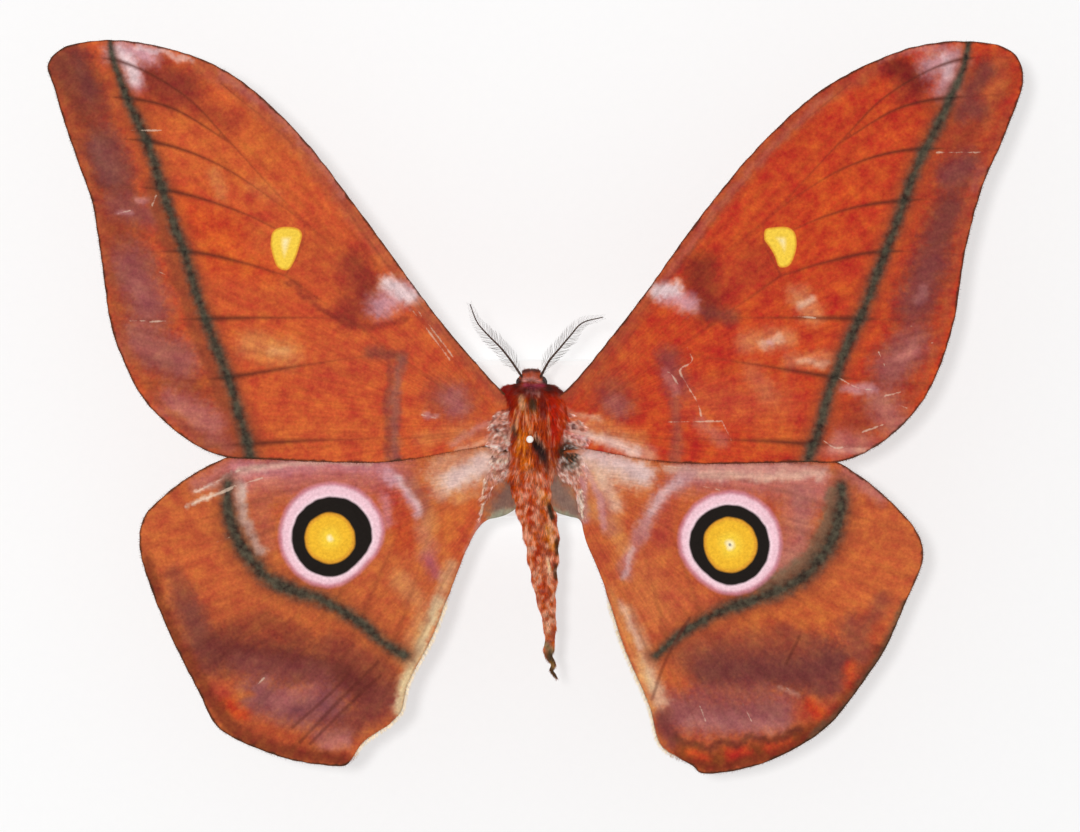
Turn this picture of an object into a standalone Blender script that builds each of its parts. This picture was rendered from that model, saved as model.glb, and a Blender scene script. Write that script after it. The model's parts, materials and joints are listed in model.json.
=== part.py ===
"""An emperor moth, set with its wings spread and pinned over a small plain base, at life size.

Metres, +Z up, +Y towards the head, +X towards the moth's right wings. The origin is on the floor,
under the middle of the base. Every outline is laid out in plan, on a picture taken straight down,
and is scaled from the real wingspan.
"""

import math
import random

import bmesh
import bpy
from mathutils import Vector
from mathutils.geometry import delaunay_2d_cdt

MM = 0.001
GAP = 0.3 * MM

# The plan
WINGSPAN = 120 * MM
PLAN_WINGSPAN = 972
PLAN_PIN = (530, 439)
PIXEL = WINGSPAN / PLAN_WINGSPAN

# Heights above the floor
BASE_THICK = 8 * MM
BODY_Z = 24 * MM
FOREWING_Z = 25.8 * MM
WING_STEP = 1.4 * MM

# Wings: a thin sheet with thicker veins, which rises from the body and droops at its tip
MEMBRANE = 0.5 * MM
VEIN_THICK = 0.95 * MM
VEIN_HALF_WIDTH = 0.45 * MM
VEIN_STEP = 3.2 * MM
VEIN_STOP = 1.6 * MM
WING_ROOT_X = 4 * MM
WING_RISE = 0.105
WING_DROOP = 0.85
SHEET_SPACING = 7 * MM

# Thorax: a core with overlapping locks laid back over it in staggered rows
THORAX_TALL = 1.06
LOCK_ROWS = 8
LOCKS_AROUND = 9
LOCK_LENGTH = 3.6 * MM
TEGULA_LENGTH = 5.6 * MM
LOCK_WIDTH = 1.9 * MM
LOCK_THICK = 0.8 * MM
LOCK_LIFT = 0.7 * MM
LOCK_SINK = 0.9 * MM
LOCK_SHARES = ((0.0, 0.8), (0.3, 1.0), (0.65, 0.8))
TUFTS = 4
TUFT_LENGTH = 4 * MM

# Head, a little lower than the thorax
HEAD_AT = (0.2 * MM, 6.9 * MM, BODY_Z - 0.7 * MM)
HEAD_HALF = (1.4 * MM, 1.5 * MM, 1.7 * MM)
EYE_RADIUS = 0.85 * MM
EYE_OUT = 1.1 * MM
PALP_RADIUS = 0.4 * MM
FACE_LOCKS = 7
FACE_LOCK = 1.3 * MM

# Antennae
SHAFT_ROOT = 0.3 * MM
SHAFT_TIP = 0.16 * MM
RAMUS_ROOT = 0.26 * MM
RAMUS_LENGTH = 1.6 * MM
RAMUS_STEP = 0.95 * MM
ANTENNA_RISE = 1.6 * MM

# Abdomen
SEGMENTS = 8
SEGMENT_WAIST = 0.18 * MM
ABDOMEN_DROOP = 1.6 * MM

# Legs, folded under the thorax
LEG_RADII = (0.62 * MM, 0.5 * MM, 0.36 * MM, 0.26 * MM)

# Stand
BASE_SIZE = (46 * MM, 20 * MM)
BASE_ROUND = 3 * MM
BASE_EDGE = 0.8 * MM
PIN_LENGTH = 38 * MM
PIN_RADIUS = 0.3 * MM
PIN_HEAD_RADIUS = 0.45 * MM
PIN_FOOT_Z = 1.5 * MM

# Plan outlines, in pixels of the picture: from the front of the root along the leading edge, round
# the tip and the outer margin, and back along the inner margin
FOREWING_LEFT = [
    (512, 400), (500, 389), (440, 320), (360, 212), (300, 135), (240, 80), (200, 59), (160, 47),
    (120, 41), (85, 43), (60, 51), (49, 66), (55, 88), (71, 140), (87, 184), (93, 202), (105, 280),
    (111, 322), (124, 360), (146, 401), (187, 439), (222, 456), (262, 459), (386, 462), (450, 452),
    (510, 436),
]
FOREWING_RIGHT = [
    (551, 402), (565, 391), (640, 300), (700, 217), (760, 145), (820, 91), (880, 59), (920, 46),
    (960, 42), (1000, 47), (1016, 58), (1022, 80), (1006, 130), (982, 186), (964, 253), (953, 322),
    (934, 379), (912, 414), (876, 446), (842, 461), (800, 462), (680, 463), (620, 455), (552, 436),
]
HINDWING_LEFT = [
    (512, 450), (470, 444), (350, 440), (250, 450), (200, 470), (160, 499), (143, 520), (140, 548),
    (148, 579), (170, 634), (200, 694), (218, 727), (258, 749), (296, 761), (322, 765), (344, 766),
    (350, 762), (361, 745), (399, 715), (408, 684), (432, 638), (448, 597), (475, 533), (486, 521),
    (500, 517), (509, 508), (508, 478),
]
HINDWING_RIGHT = [
    (556, 450), (600, 444), (720, 440), (810, 450), (860, 476), (900, 511), (918, 534), (923, 557),
    (904, 606), (885, 649), (861, 685), (828, 726), (785, 754), (740, 770), (700, 773), (694, 767),
    (680, 759), (661, 746), (649, 706), (624, 648), (602, 580), (585, 538), (580, 520), (570, 517),
    (562, 510), (560, 478),
]

# Main veins of the left wings, in the same pixels. The right wings mirror them, but two bend lower there.
FOREWING_VEINS = {
    "subcosta": [(500, 400), (400, 281), (300, 152), (222, 84)],
    "radius": [(490, 410), (412, 310), (305, 222), (232, 144)],
    "radius_apex": [(232, 144), (185, 96), (120, 62), (66, 60)],
    "radius_outer": [(232, 144), (165, 106), (62, 94)],
    "media_1": [(305, 222), (215, 163), (150, 142), (76, 140)],
    "media_2": [(303, 243), (240, 212), (163, 190), (92, 188)],
    "media_3": [(286, 276), (240, 262), (188, 252), (103, 256)],
    "cubitus_1": [(345, 318), (250, 318), (205, 319), (111, 322)],
    "cubitus_2": [(392, 352), (300, 366), (222, 378), (134, 384)],
    "cubitus": [(490, 420), (392, 352), (345, 318), (286, 276)],
    "cell_end": [(305, 222), (303, 243), (286, 276)],
    "anal": [(488, 432), (400, 438), (300, 441), (206, 446)],
}
HINDWING_VEINS = {
    "subcosta": [(488, 452), (380, 455), (250, 468), (172, 500)],
    "radius": [(488, 460), (430, 474), (330, 480), (230, 510), (143, 540)],
    "media_1": [(350, 500), (270, 530), (150, 580)],
    "media_2": [(362, 530), (280, 590), (178, 646)],
    "media_3": [(372, 552), (300, 640), (214, 716)],
    "cubitus": [(488, 470), (440, 500), (400, 528), (372, 552)],
    "cubitus_1": [(400, 528), (350, 640), (288, 756)],
    "cubitus_2": [(440, 500), (395, 640), (352, 740)],
    "cell_end": [(360, 477), (350, 500), (362, 530), (372, 552)],
    "anal": [(492, 482), (455, 556), (416, 650)],
}
FOREWING_VEINS_RIGHT = {
    "media_1": [(763, 222), (799, 195), (847, 167), (903, 151), (984, 151)],
    "media_2": [(766, 243), (821, 218), (858, 207), (903, 201), (974, 199)],
}
FOREWING_MIRROR = (1074, -1.0, -0.027)
HINDWING_MIRROR = (1097, -0.99, -0.06)

# Plan centrelines of the body and their half-widths, both in pixels. The thorax's coat lies outside its core.
THORAX_PLAN = [
    ((533, 386), 13), ((535, 392), 25), ((536, 402), 31.5), ((537, 415), 34), ((537, 430), 33.5),
    ((536, 445), 31), ((534, 460), 27), ((533, 474), 22), ((532, 484), 17),
]
ABDOMEN_PLAN = [
    ((532, 468), 20.5), ((532, 482), 21), ((534, 500), 20.5), ((538, 520), 19.5), ((541, 540), 18),
    ((543, 560), 16.5), ((544, 580), 14), ((546, 600), 11.5), ((549, 620), 8.5), ((550, 640), 7),
    ((549, 650), 6.5),
]
TAIL_PLAN = [((549, 650), 5.5), ((549, 658), 4.2), ((553, 664), 4), ((551, 670), 3), ((557, 679), 2)]
ANTENNA_LEFT = [(524, 378), (512, 362), (501, 348), (488, 335), (477, 322), (470, 304)]
ANTENNA_RIGHT = [(539, 378), (549, 361), (559, 349), (570, 336), (582, 323), (603, 317)]

# Each leg's joints on the right side, in millimetres from the body's midline: coxa, knee, ankle and tip
LEGS = {
    "fore": [(1.6, 3.6, 21.2), (3.0, 5.2, 18.0), (2.2, 2.6, 16.6), (1.4, -0.8, 16.5)],
    "mid": [(2.0, 1.2, 20.9), (4.8, 1.9, 18.0), (3.6, -2.6, 16.8), (2.7, -6.2, 17.0)],
    "hind": [(1.9, -1.8, 21.2), (4.4, -3.6, 18.3), (2.5, -8.0, 17.4), (1.2, -11.4, 17.6)],
}
LEGS_MIDLINE = 0.7 * MM

random.seed(7)
model = None


def plan(pixel):
    """A point of the picture as a point on the floor plan, in metres."""
    return Vector(((pixel[0] - PLAN_PIN[0]) * PIXEL, (PLAN_PIN[1] - pixel[1]) * PIXEL))


def mirrored(pixel, mirror):
    """The matching pixel on the other side. The specimen leans a little, so the mirror is sheared."""
    return (mirror[0] + mirror[1] * pixel[0] + mirror[2] * pixel[1], pixel[1])


def smooth_curve(points, steps):
    """A centripetal Catmull-Rom curve through the points, with this many steps to each span."""
    points = [2 * points[0] - points[1], *points, 2 * points[-1] - points[-2]]
    curve = []
    for four in zip(points, points[1:], points[2:], points[3:]):
        knots = [0.0]
        for start, end in zip(four, four[1:]):
            knots.append(knots[-1] + math.sqrt((end - start).length))
        for step in range(steps):
            at = knots[1] + (knots[2] - knots[1]) * step / steps
            row = list(four)
            for low, high in (((0, 1, 2), (1, 2, 3)), ((0, 1), (2, 3)), ((1,), (2,))):
                row = [
                    row[i].lerp(row[i + 1], (at - knots[a]) / (knots[b] - knots[a]))
                    for i, (a, b) in enumerate(zip(low, high))
                ]
            curve.append(row[0])
    return [*curve, points[-2].copy()]


def along(points, share):
    """The point at this share of a polyline's length."""
    lengths = [(b - a).length for a, b in zip(points, points[1:])]
    left = share * sum(lengths)
    for a, b, length in zip(points, points[1:], lengths):
        if left <= length:
            return a.lerp(b, left / length)
        left -= length
    return points[-1].copy()


def evenly(points, spacing):
    """A polyline divided again into equal steps of about this length."""
    total = sum((b - a).length for a, b in zip(points, points[1:]))
    count = max(2, round(total / spacing))
    return [along(points, i / count) for i in range(count + 1)]


def distance_to(point, lines):
    """How far a plan point is from the nearest of these polylines."""
    nearest = math.inf
    for line in lines:
        for a, b in zip(line, line[1:]):
            run = b - a
            share = min(1.0, max(0.0, (point - a).dot(run) / run.length_squared))
            nearest = min(nearest, (a + run * share - point).length)
    return nearest


def grown_outline(points, by):
    """A closed outline, whichever way round it runs, moved outwards by this much."""
    area = sum(a.cross(b) for a, b in zip(points, points[1:] + points[:1]))
    turn = 1 if area > 0 else -1
    moved = []
    for before, here, after in zip(points[-1:] + points[:-1], points, points[1:] + points[:1]):
        run = (after - before).normalized()
        moved.append(here + Vector((run.y, -run.x)) * by * turn)
    return moved


def colour(hex_value):
    """An sRGB hex colour as linear RGBA."""
    channels = [int(hex_value[i:i + 2], 16) / 255 for i in (1, 3, 5)]
    return (*[c / 12.92 if c <= 0.04045 else ((c + 0.055) / 1.055) ** 2.4 for c in channels], 1.0)


def material(name, hex_value, roughness, metallic=0.0):
    made = bpy.data.materials.new(name)
    made.use_nodes = True
    shader = made.node_tree.nodes["Principled BSDF"]
    shader.inputs["Base Color"].default_value = colour(hex_value)
    shader.inputs["Roughness"].default_value = roughness
    shader.inputs["Metallic"].default_value = metallic
    return made


def add_object(name, mesh):
    made = bpy.data.objects.new(name, mesh)
    model.objects.link(made)
    return made


def mesh_of(bm, name):
    """A bmesh as a mesh, with its faces pointing out."""
    bmesh.ops.recalc_face_normals(bm, faces=bm.faces)
    mesh = bpy.data.meshes.new(name)
    bm.to_mesh(mesh)
    bm.free()
    return mesh


def applied(obj, weld=False):
    """The object's evaluated mesh, with no modifier left. A curve's caps are welded on."""
    graph = bpy.context.evaluated_depsgraph_get()
    mesh = bpy.data.meshes.new_from_object(obj.evaluated_get(graph))
    if weld:
        bm = bmesh.new()
        bm.from_mesh(mesh)
        bmesh.ops.remove_doubles(bm, verts=bm.verts, dist=0.001 * MM)
        bm.to_mesh(mesh)
        bm.free()
    made = bpy.data.objects.new(obj.name, mesh)
    made.matrix_world = obj.matrix_world
    name = obj.name
    bpy.data.objects.remove(obj)
    made.name = name
    model.objects.link(made)
    return made


def tube(name, points, radii, resolution=2):
    """A closed round tube through the points, each with its own radius."""
    curve = bpy.data.curves.new(name, "CURVE")
    curve.dimensions = "3D"
    curve.bevel_depth = 1.0
    curve.bevel_resolution = resolution
    curve.use_fill_caps = True
    spline = curve.splines.new("POLY")
    spline.points.add(len(points) - 1)
    for point, place, radius in zip(spline.points, points, radii):
        point.co = (*place, 1.0)
        point.radius = radius
    made = add_object(name, curve)
    bpy.context.view_layer.update()
    return applied(made, weld=True)


def ellipsoid(name, at, half, segments=20, rings=12):
    bm = bmesh.new()
    bmesh.ops.create_uvsphere(bm, u_segments=segments, v_segments=rings, radius=1.0)
    bmesh.ops.scale(bm, vec=half, verts=bm.verts)
    bmesh.ops.translate(bm, vec=at, verts=bm.verts)
    return add_object(name, mesh_of(bm, name))


def keep_largest(obj):
    """Leaves only the largest closed surface of the object's mesh."""
    bm = bmesh.new()
    bm.from_mesh(obj.data)
    bmesh.ops.triangulate(bm, faces=bm.faces)
    left = set(bm.faces)
    islands = []
    while left:
        queue = [left.pop()]
        island = set(queue)
        while queue:
            for edge in queue.pop().edges:
                for face in edge.link_faces:
                    if face in left:
                        left.remove(face)
                        island.add(face)
                        queue.append(face)
        islands.append(island)

    def volume(island):
        corners = ([loop.vert.co for loop in face.loops] for face in island)
        return sum(a.dot(b.cross(c)) for a, b, c in corners)

    largest = max(islands, key=volume)
    bmesh.ops.delete(bm, geom=[f for f in bm.faces if f not in largest], context="FACES")
    bm.to_mesh(obj.data)
    bm.free()


def join_and_cut(name, pieces, cutters, finish):
    """One closed node: the pieces fused together, less the cutters. So many overlaps need the fast solver."""
    body = pieces[0]
    groups = (("UNION", pieces[1:]), ("DIFFERENCE", cutters))
    for operation, others in groups:
        if not others:
            continue
        group = bpy.data.collections.new(f"{name}_{operation.lower()}")
        bpy.context.scene.collection.children.link(group)
        for other in others:
            model.objects.unlink(other)
            group.objects.link(other)
        boolean = body.modifiers.new(operation.title(), "BOOLEAN")
        boolean.operation = operation
        boolean.solver = "MANIFOLD"
        boolean.operand_type = "COLLECTION"
        boolean.collection = group
        bpy.context.view_layer.update()
        body = applied(body)
        for other in list(group.objects):
            bpy.data.objects.remove(other)
        bpy.data.collections.remove(group)
    keep_largest(body)
    body.name = name
    body.data.materials.clear()
    body.data.materials.append(finish)
    return body


def wing_height(point, drop):
    """Height of a wing's middle surface over a plan point."""
    reach = max(0.0, abs(point.x) - WING_ROOT_X)
    return FOREWING_Z + WING_RISE * reach - WING_DROOP * reach**2 - drop


def vein_edges(centre):
    """The two lines along the foot of a vein's ridge, one each side of its centreline."""
    sides = []
    for side in (-1, 1):
        foot = []
        for before, here, after in zip(centre[:-2], centre[1:-1], centre[2:]):
            run = (after - before).normalized()
            foot.append(here + Vector((run.y, -run.x)) * VEIN_HALF_WIDTH * side)
        sides.append(foot)
    return sides


def filler_points(outline, lines):
    """A sparse staggered grid of points inside the outline, clear of it and of these lines."""
    low = Vector((min(p.x for p in outline), min(p.y for p in outline)))
    high = Vector((max(p.x for p in outline), max(p.y for p in outline)))
    taken = [[*outline, outline[0]], *lines]
    made = []
    for row in range(int((high.y - low.y) / SHEET_SPACING) + 1):
        for column in range(int((high.x - low.x) / SHEET_SPACING) + 1):
            point = low + Vector((column + 0.5 * (row % 2), row)) * SHEET_SPACING
            if distance_to(point, taken) > 0.4 * SHEET_SPACING:
                made.append(point)
    return made


def flat_triangles(outline, lines):
    """The outline filled with triangles whose edges follow these lines, as plan points and faces."""
    points = list(outline)
    edges = [(i, (i + 1) % len(outline)) for i in range(len(outline))]
    for line in lines:
        start = len(points)
        points.extend(line)
        edges.extend((start + i, start + i + 1) for i in range(len(line) - 1))
    points.extend(filler_points(outline, lines))
    placed, _, faces, *_ = delaunay_2d_cdt([p / MM for p in points], edges, [], 1, 0.02)
    return [p * MM for p in placed], faces


def wing_sheet(name, outline, veins, drop, grow=0.0):
    """A wing: one sheet triangulated along its veins, then thickened, more so at the veins."""
    outline = smooth_curve([plan(p) for p in outline], 2)
    if grow:
        outline = grown_outline(outline, grow)
    centres = [evenly(smooth_curve([plan(p) for p in pixels], 4), VEIN_STEP) for pixels in veins]
    lines = [line for centre in centres for line in (centre, *vein_edges(centre))]
    flat, faces = flat_triangles(outline, lines)
    bm = bmesh.new()
    corners = [bm.verts.new((*p, wing_height(p, drop))) for p in flat]
    for face in faces:
        bm.faces.new([corners[i] for i in face])
    made = add_object(name, mesh_of(bm, name))
    solid = made.modifiers.new("Thickness", "SOLIDIFY")
    solid.thickness = VEIN_THICK + 2 * grow
    solid.offset = 0
    if centres:
        ridge = made.vertex_groups.new(name="vein")
        for index, point in enumerate(flat):
            near = 1 - distance_to(point, centres) / VEIN_HALF_WIDTH
            if near > 0:
                ridge.add([index], near, "REPLACE")
        solid.vertex_group = ridge.name
        solid.thickness_vertex_group = MEMBRANE / VEIN_THICK
    return applied(made)


def mirrored_veins(veins, mirror, own):
    """A left wing's veins on the right, with the right wing's own lines where it has any."""
    return {name: own.get(name) or [mirrored(p, mirror) for p in pixels] for name, pixels in veins.items()}


def trimmed_veins(veins):
    """Vein lines that stop a little short of the outer margin."""
    lines = []
    for name, pixels in veins.items():
        pixels = [Vector(p) for p in pixels]
        if name not in ("radius", "cubitus", "cell_end"):
            back = (pixels[-2] - pixels[-1]).normalized() * VEIN_STOP / PIXEL
            pixels[-1] += back
        lines.append(pixels)
    return lines


def wings(grow=0.0, suffix=""):
    """All four wings, or their grown copies that cut clearance for them."""
    made = {}
    right_fore = mirrored_veins(FOREWING_VEINS, FOREWING_MIRROR, FOREWING_VEINS_RIGHT)
    right_hind = mirrored_veins(HINDWING_VEINS, HINDWING_MIRROR, {})
    for name, outline, veins, drop in (
        ("forewing_left", FOREWING_LEFT, FOREWING_VEINS, 0.0),
        ("forewing_right", FOREWING_RIGHT, right_fore, 0.0),
        ("hindwing_left", HINDWING_LEFT, HINDWING_VEINS, WING_STEP),
        ("hindwing_right", HINDWING_RIGHT, right_hind, WING_STEP),
    ):
        lines = [] if grow else trimmed_veins(veins)
        made[name] = wing_sheet(name + suffix, outline, lines, drop, grow)
    return made


def body_stations(plan_line, steps):
    """A body part's centreline and half-widths, read smoothly from its plan."""
    places = smooth_curve([plan(p) for p, _ in plan_line], steps)
    widths = smooth_curve([Vector((r * PIXEL, 0)) for _, r in plan_line], steps)
    return places, [w.x for w in widths]


def thorax_surface(y, angle):
    """A point on the thorax's core at this plan Y and angle up from its right side, and the normal."""
    places, widths = body_stations(THORAX_PLAN, 3)
    y = min(places[0].y, max(places[-1].y, y))
    for (a, b), (wide_a, wide_b) in zip(zip(places, places[1:]), zip(widths, widths[1:])):
        if b.y <= y <= a.y:
            share = (a.y - y) / (a.y - b.y)
            middle = a.lerp(b, share)
            half = wide_a + (wide_b - wide_a) * share
            slope = (wide_a - wide_b) / (a.y - b.y)
    around = Vector((math.cos(angle), 0, math.sin(angle) * THORAX_TALL))
    point = Vector((middle.x, y, BODY_Z)) + around * half
    normal = Vector((math.cos(angle), -slope, math.sin(angle) / THORAX_TALL)).normalized()
    return point, normal


def flat_lock(name, points, normals, width, thick):
    """A flat tapered lock: diamond sections along a bent line that ends in a point."""
    total = len(points) - 1
    bm = bmesh.new()
    rings = []
    for i, (_, share) in enumerate(LOCK_SHARES):
        run = (points[i + 1] - points[max(0, i - 1)]).normalized()
        across = run.cross(normals[i]).normalized()
        up = across.cross(run)
        corners = (across * width / 2, up * thick / 2, -across * width / 2, -up * thick / 2)
        rings.append([bm.verts.new(points[i] + corner * share) for corner in corners])
    tip = bm.verts.new(points[total])
    for first, second in zip(rings, rings[1:]):
        for i in range(4):
            bm.faces.new((first[i], first[(i + 1) % 4], second[(i + 1) % 4], second[i]))
    for i in range(4):
        bm.faces.new((rings[-1][i], rings[-1][(i + 1) % 4], tip))
    bm.faces.new(rings[0])
    return add_object(name, mesh_of(bm, name))


def coat_lock(name, y, angle, length):
    """A lock rooted in the thorax's core that lies back over it, lifting towards its middle."""
    points = []
    normals = []
    for share in [along_lock for along_lock, _ in LOCK_SHARES] + [1.0]:
        turn = random.uniform(-0.06, 0.06) * share
        point, normal = thorax_surface(y - length * share, angle + turn)
        overrun = min(0.0, y - length * share - plan(THORAX_PLAN[-1][0]).y)
        lift = -LOCK_SINK * (1 - share) ** 2 + LOCK_LIFT * math.sin(math.pi * (0.1 + 0.55 * share))
        points.append(point + normal * lift + Vector((0, overrun, 0)))
        normals.append(normal)
    return flat_lock(name, points, normals, LOCK_WIDTH, LOCK_THICK)


def thorax_locks():
    """Staggered rows of locks over the thorax, with longer ones over the wing roots."""
    made = []
    front = plan(THORAX_PLAN[0][0]).y
    back = plan(THORAX_PLAN[-2][0]).y
    for row in range(LOCK_ROWS):
        y = front + (back - front) * row / (LOCK_ROWS - 1)
        for i in range(LOCKS_AROUND):
            degrees = 360 * (i + 0.5 * (row % 2)) / LOCKS_AROUND - 90 + random.uniform(-4, 4)
            above = abs(abs((degrees + 360) % 360 - 90) - 42) < 16
            length = TEGULA_LENGTH if row <= 1 and above else LOCK_LENGTH
            length *= random.uniform(0.85, 1.1)
            made.append(coat_lock(f"lock_{row}_{i}", y, math.radians(degrees), length))
    return made


def wing_tufts():
    """Tufts that leave the thorax's sides just over the wings and lie out and back on them."""
    made = []
    for side in (-1, 1):
        for i in range(TUFTS):
            y = plan((0, 424 + 12 * i)).y
            angle = math.radians(34) if side > 0 else math.radians(180 - 34)
            root, normal = thorax_surface(y, angle)
            out = Vector((side, -0.55 - 0.12 * i, -0.04)).normalized()
            points = [root - normal * LOCK_SINK]
            normals = [Vector((0, 0, 1))]
            for share, _ in LOCK_SHARES[1:]:
                points.append(root + out * TUFT_LENGTH * share)
                normals.append(Vector((0, 0, 1)))
            points.append(root + out * TUFT_LENGTH * random.uniform(0.9, 1.1))
            made.append(flat_lock(f"tuft_{side}_{i}", points, normals, LOCK_WIDTH, LOCK_THICK))
    return made


def thorax_core(name):
    """The thorax under its coat: a tube along its plan line, a little taller than wide."""
    places, widths = body_stations(THORAX_PLAN, 2)
    core = tube(name, [Vector((p.x, p.y, 0)) for p in places], widths, 4)
    for vertex in core.data.vertices:
        vertex.co.z = vertex.co.z * THORAX_TALL + BODY_Z
    return core


def abdomen(name, grow=0.0):
    """The abdomen: a tube along its bent plan line, waisted between its segments."""
    places, widths = body_stations(ABDOMEN_PLAN, 3)
    last = len(places) - 1
    points = []
    radii = []
    for i, (place, width) in enumerate(zip(places, widths)):
        share = i / last
        points.append(Vector((*place, BODY_Z - 0.2 * MM - ABDOMEN_DROOP * share**1.5)))
        waist = SEGMENT_WAIST * math.cos(2 * math.pi * SEGMENTS * share) * (1 - 0.5 * share)
        radii.append(width + waist / 2 + grow)
    return tube(name, points, radii, 4)


def tail(name, grow=0.0):
    """The dried, twisted tuft at the end of the abdomen."""
    places, widths = body_stations(TAIL_PLAN, 2)
    height = BODY_Z - 0.2 * MM - ABDOMEN_DROOP
    return tube(name, [Vector((*p, height)) for p in places], [w + grow for w in widths], 2)


def head_core(name, grow=0.0):
    return ellipsoid(name, HEAD_AT, [half + grow for half in HEAD_HALF], 16, 10)


def eye(name, side, grow=0.0):
    at = Vector(HEAD_AT) + Vector((side * EYE_OUT, 0.1 * MM, -0.1 * MM))
    return ellipsoid(name, at, [EYE_RADIUS + grow] * 3, 14, 9)


def palps():
    """The two short palps under the face, curving forward and up."""
    made = []
    for side in (-1, 1):
        bends = ((0.5 * side, 0.6, -0.9), (0.5 * side, 1.5, -1.0), (0.4 * side, 1.9, -0.3))
        line = [Vector(p) * MM for p in bends]
        points = [Vector(HEAD_AT) + p for p in smooth_curve(line, 3)]
        radii = [PALP_RADIUS * (1 - 0.4 * i / (len(points) - 1)) for i in range(len(points))]
        made.append(tube(f"palp_{side}", points, radii, 1))
    return made


def face_locks():
    """A fan of short locks on the face, between the antennae, that lean forward and down."""
    made = []
    for i in range(FACE_LOCKS):
        angle = math.radians(-60 + 120 * i / (FACE_LOCKS - 1))
        across = Vector((math.sin(angle), math.cos(angle), 0))
        root = Vector(HEAD_AT) + Vector((across.x * 0.75, across.y * 1.2, 0.85 + 0.2 * (i % 2))) * MM
        points = [root - across * 0.4 * MM]
        for share, _ in LOCK_SHARES[1:]:
            points.append(root + (across - Vector((0, 0, share * 0.5))) * FACE_LOCK * share * 0.7)
        points.append(root + (across - Vector((0, 0, 0.6))) * FACE_LOCK * 0.75)
        up = Vector((0, 0, 1))
        made.append(flat_lock(f"face_lock_{i}", points, [up] * 3, 0.8 * MM, 0.45 * MM))
    return made


def antenna_line(pixels):
    """An antenna's shaft, rising gently from the head to its tip."""
    line = smooth_curve([plan(p) for p in pixels], 4)
    last = len(line) - 1
    top = HEAD_AT[2] + 1.1 * MM
    return [Vector((p.x, p.y, top + ANTENNA_RISE * i / last)) for i, p in enumerate(line)]


def antenna_shaft(name, pixels, grow=0.0):
    line = antenna_line(pixels)
    last = len(line) - 1
    radii = [SHAFT_ROOT + (SHAFT_TIP - SHAFT_ROOT) * i / last + grow for i in range(last + 1)]
    return tube(name, line, radii, 1)


def ramus(name, root, tip):
    """One side branch of a feathered antenna: a four-sided spike."""
    run = tip - root
    bm = bmesh.new()
    bmesh.ops.create_cone(
        bm, cap_ends=True, segments=4, radius1=RAMUS_ROOT, radius2=0.08 * MM, depth=run.length
    )
    bmesh.ops.translate(bm, vec=(0, 0, run.length / 2), verts=bm.verts)
    bmesh.ops.rotate(bm, matrix=run.to_track_quat("Z", "Y").to_matrix(), verts=bm.verts)
    bmesh.ops.translate(bm, vec=root, verts=bm.verts)
    return add_object(name, mesh_of(bm, name))


def antenna(name, pixels, finish):
    """A feathered antenna: a tapered shaft with a row of branches down each side."""
    line = antenna_line(pixels)
    total = sum((b - a).length for a, b in zip(line, line[1:]))
    pieces = [antenna_shaft(name, pixels)]
    count = int(total * 0.84 / RAMUS_STEP)
    for i in range(count):
        share = 0.17 + 0.8 * i / count
        root = along(line, share)
        run = (along(line, share + 0.02) - root).normalized()
        length = RAMUS_LENGTH * math.sin(math.pi * (0.12 + 0.8 * i / count)) ** 0.6
        for side in (-1, 1):
            across = Vector((run.y, -run.x, 0)) * side
            tip = root + (across * 0.85 + run * 0.5 - Vector((0, 0, 0.2))).normalized() * length
            pieces.append(ramus(f"{name}_ramus_{i}_{side}", root, tip))
    rooms = [eye(f"{name}_eye_room_{side}", side, GAP) for side in (-1, 1)]
    return join_and_cut(name, pieces, rooms, finish)


def leg(name, joints, side, grow=0.0):
    """A leg folded under the body, thickest in its hairy femur and tibia."""
    points = [Vector((side * x, y, z)) * MM + Vector((LEGS_MIDLINE, 0, 0)) for x, y, z in joints]
    radii = smooth_curve([Vector((r, 0)) for r in LEG_RADII], 3)
    return tube(name, smooth_curve(points, 3), [r.x + grow for r in radii], 2)


def pin(name, grow=0.0):
    """The pin: a plain wire. Its ball head is fused on when it is the pin itself."""
    bm = bmesh.new()
    radius = PIN_RADIUS + grow
    bmesh.ops.create_cone(bm, cap_ends=True, segments=12, radius1=radius, radius2=radius, depth=PIN_LENGTH)
    bmesh.ops.translate(bm, vec=(0, 0, PIN_FOOT_Z + PIN_LENGTH / 2), verts=bm.verts)
    return add_object(name, mesh_of(bm, name))


def stand(finish_base, finish_pin):
    bm = bmesh.new()
    bmesh.ops.create_cube(bm, size=1.0)
    bmesh.ops.scale(bm, vec=(*BASE_SIZE, BASE_THICK), verts=bm.verts)
    bmesh.ops.translate(bm, vec=(0, 0, BASE_THICK / 2), verts=bm.verts)
    upright = [e for e in bm.edges if abs(e.verts[0].co.z - e.verts[1].co.z) > BASE_THICK / 2]
    bmesh.ops.bevel(bm, geom=upright, offset=BASE_ROUND, segments=5, profile=0.5, affect="EDGES")
    top = [e for e in bm.edges if all(v.co.z > BASE_THICK * 0.9 for v in e.verts)]
    bmesh.ops.bevel(bm, geom=top, offset=BASE_EDGE, segments=2, profile=0.5, affect="EDGES")
    block = add_object("stand_base", mesh_of(bm, "stand_base"))
    bore = pin("bore", GAP)
    bore.location.z = -GAP
    bpy.context.view_layer.update()
    join_and_cut("stand_base", [block], [bore], finish_base)
    top_z = PIN_FOOT_Z + PIN_LENGTH
    ball = ellipsoid("pin_ball", (0, 0, top_z), [PIN_HEAD_RADIUS] * 3, 12, 8)
    join_and_cut("stand_pin", [pin("stand_pin"), ball], [], finish_pin)


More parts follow.
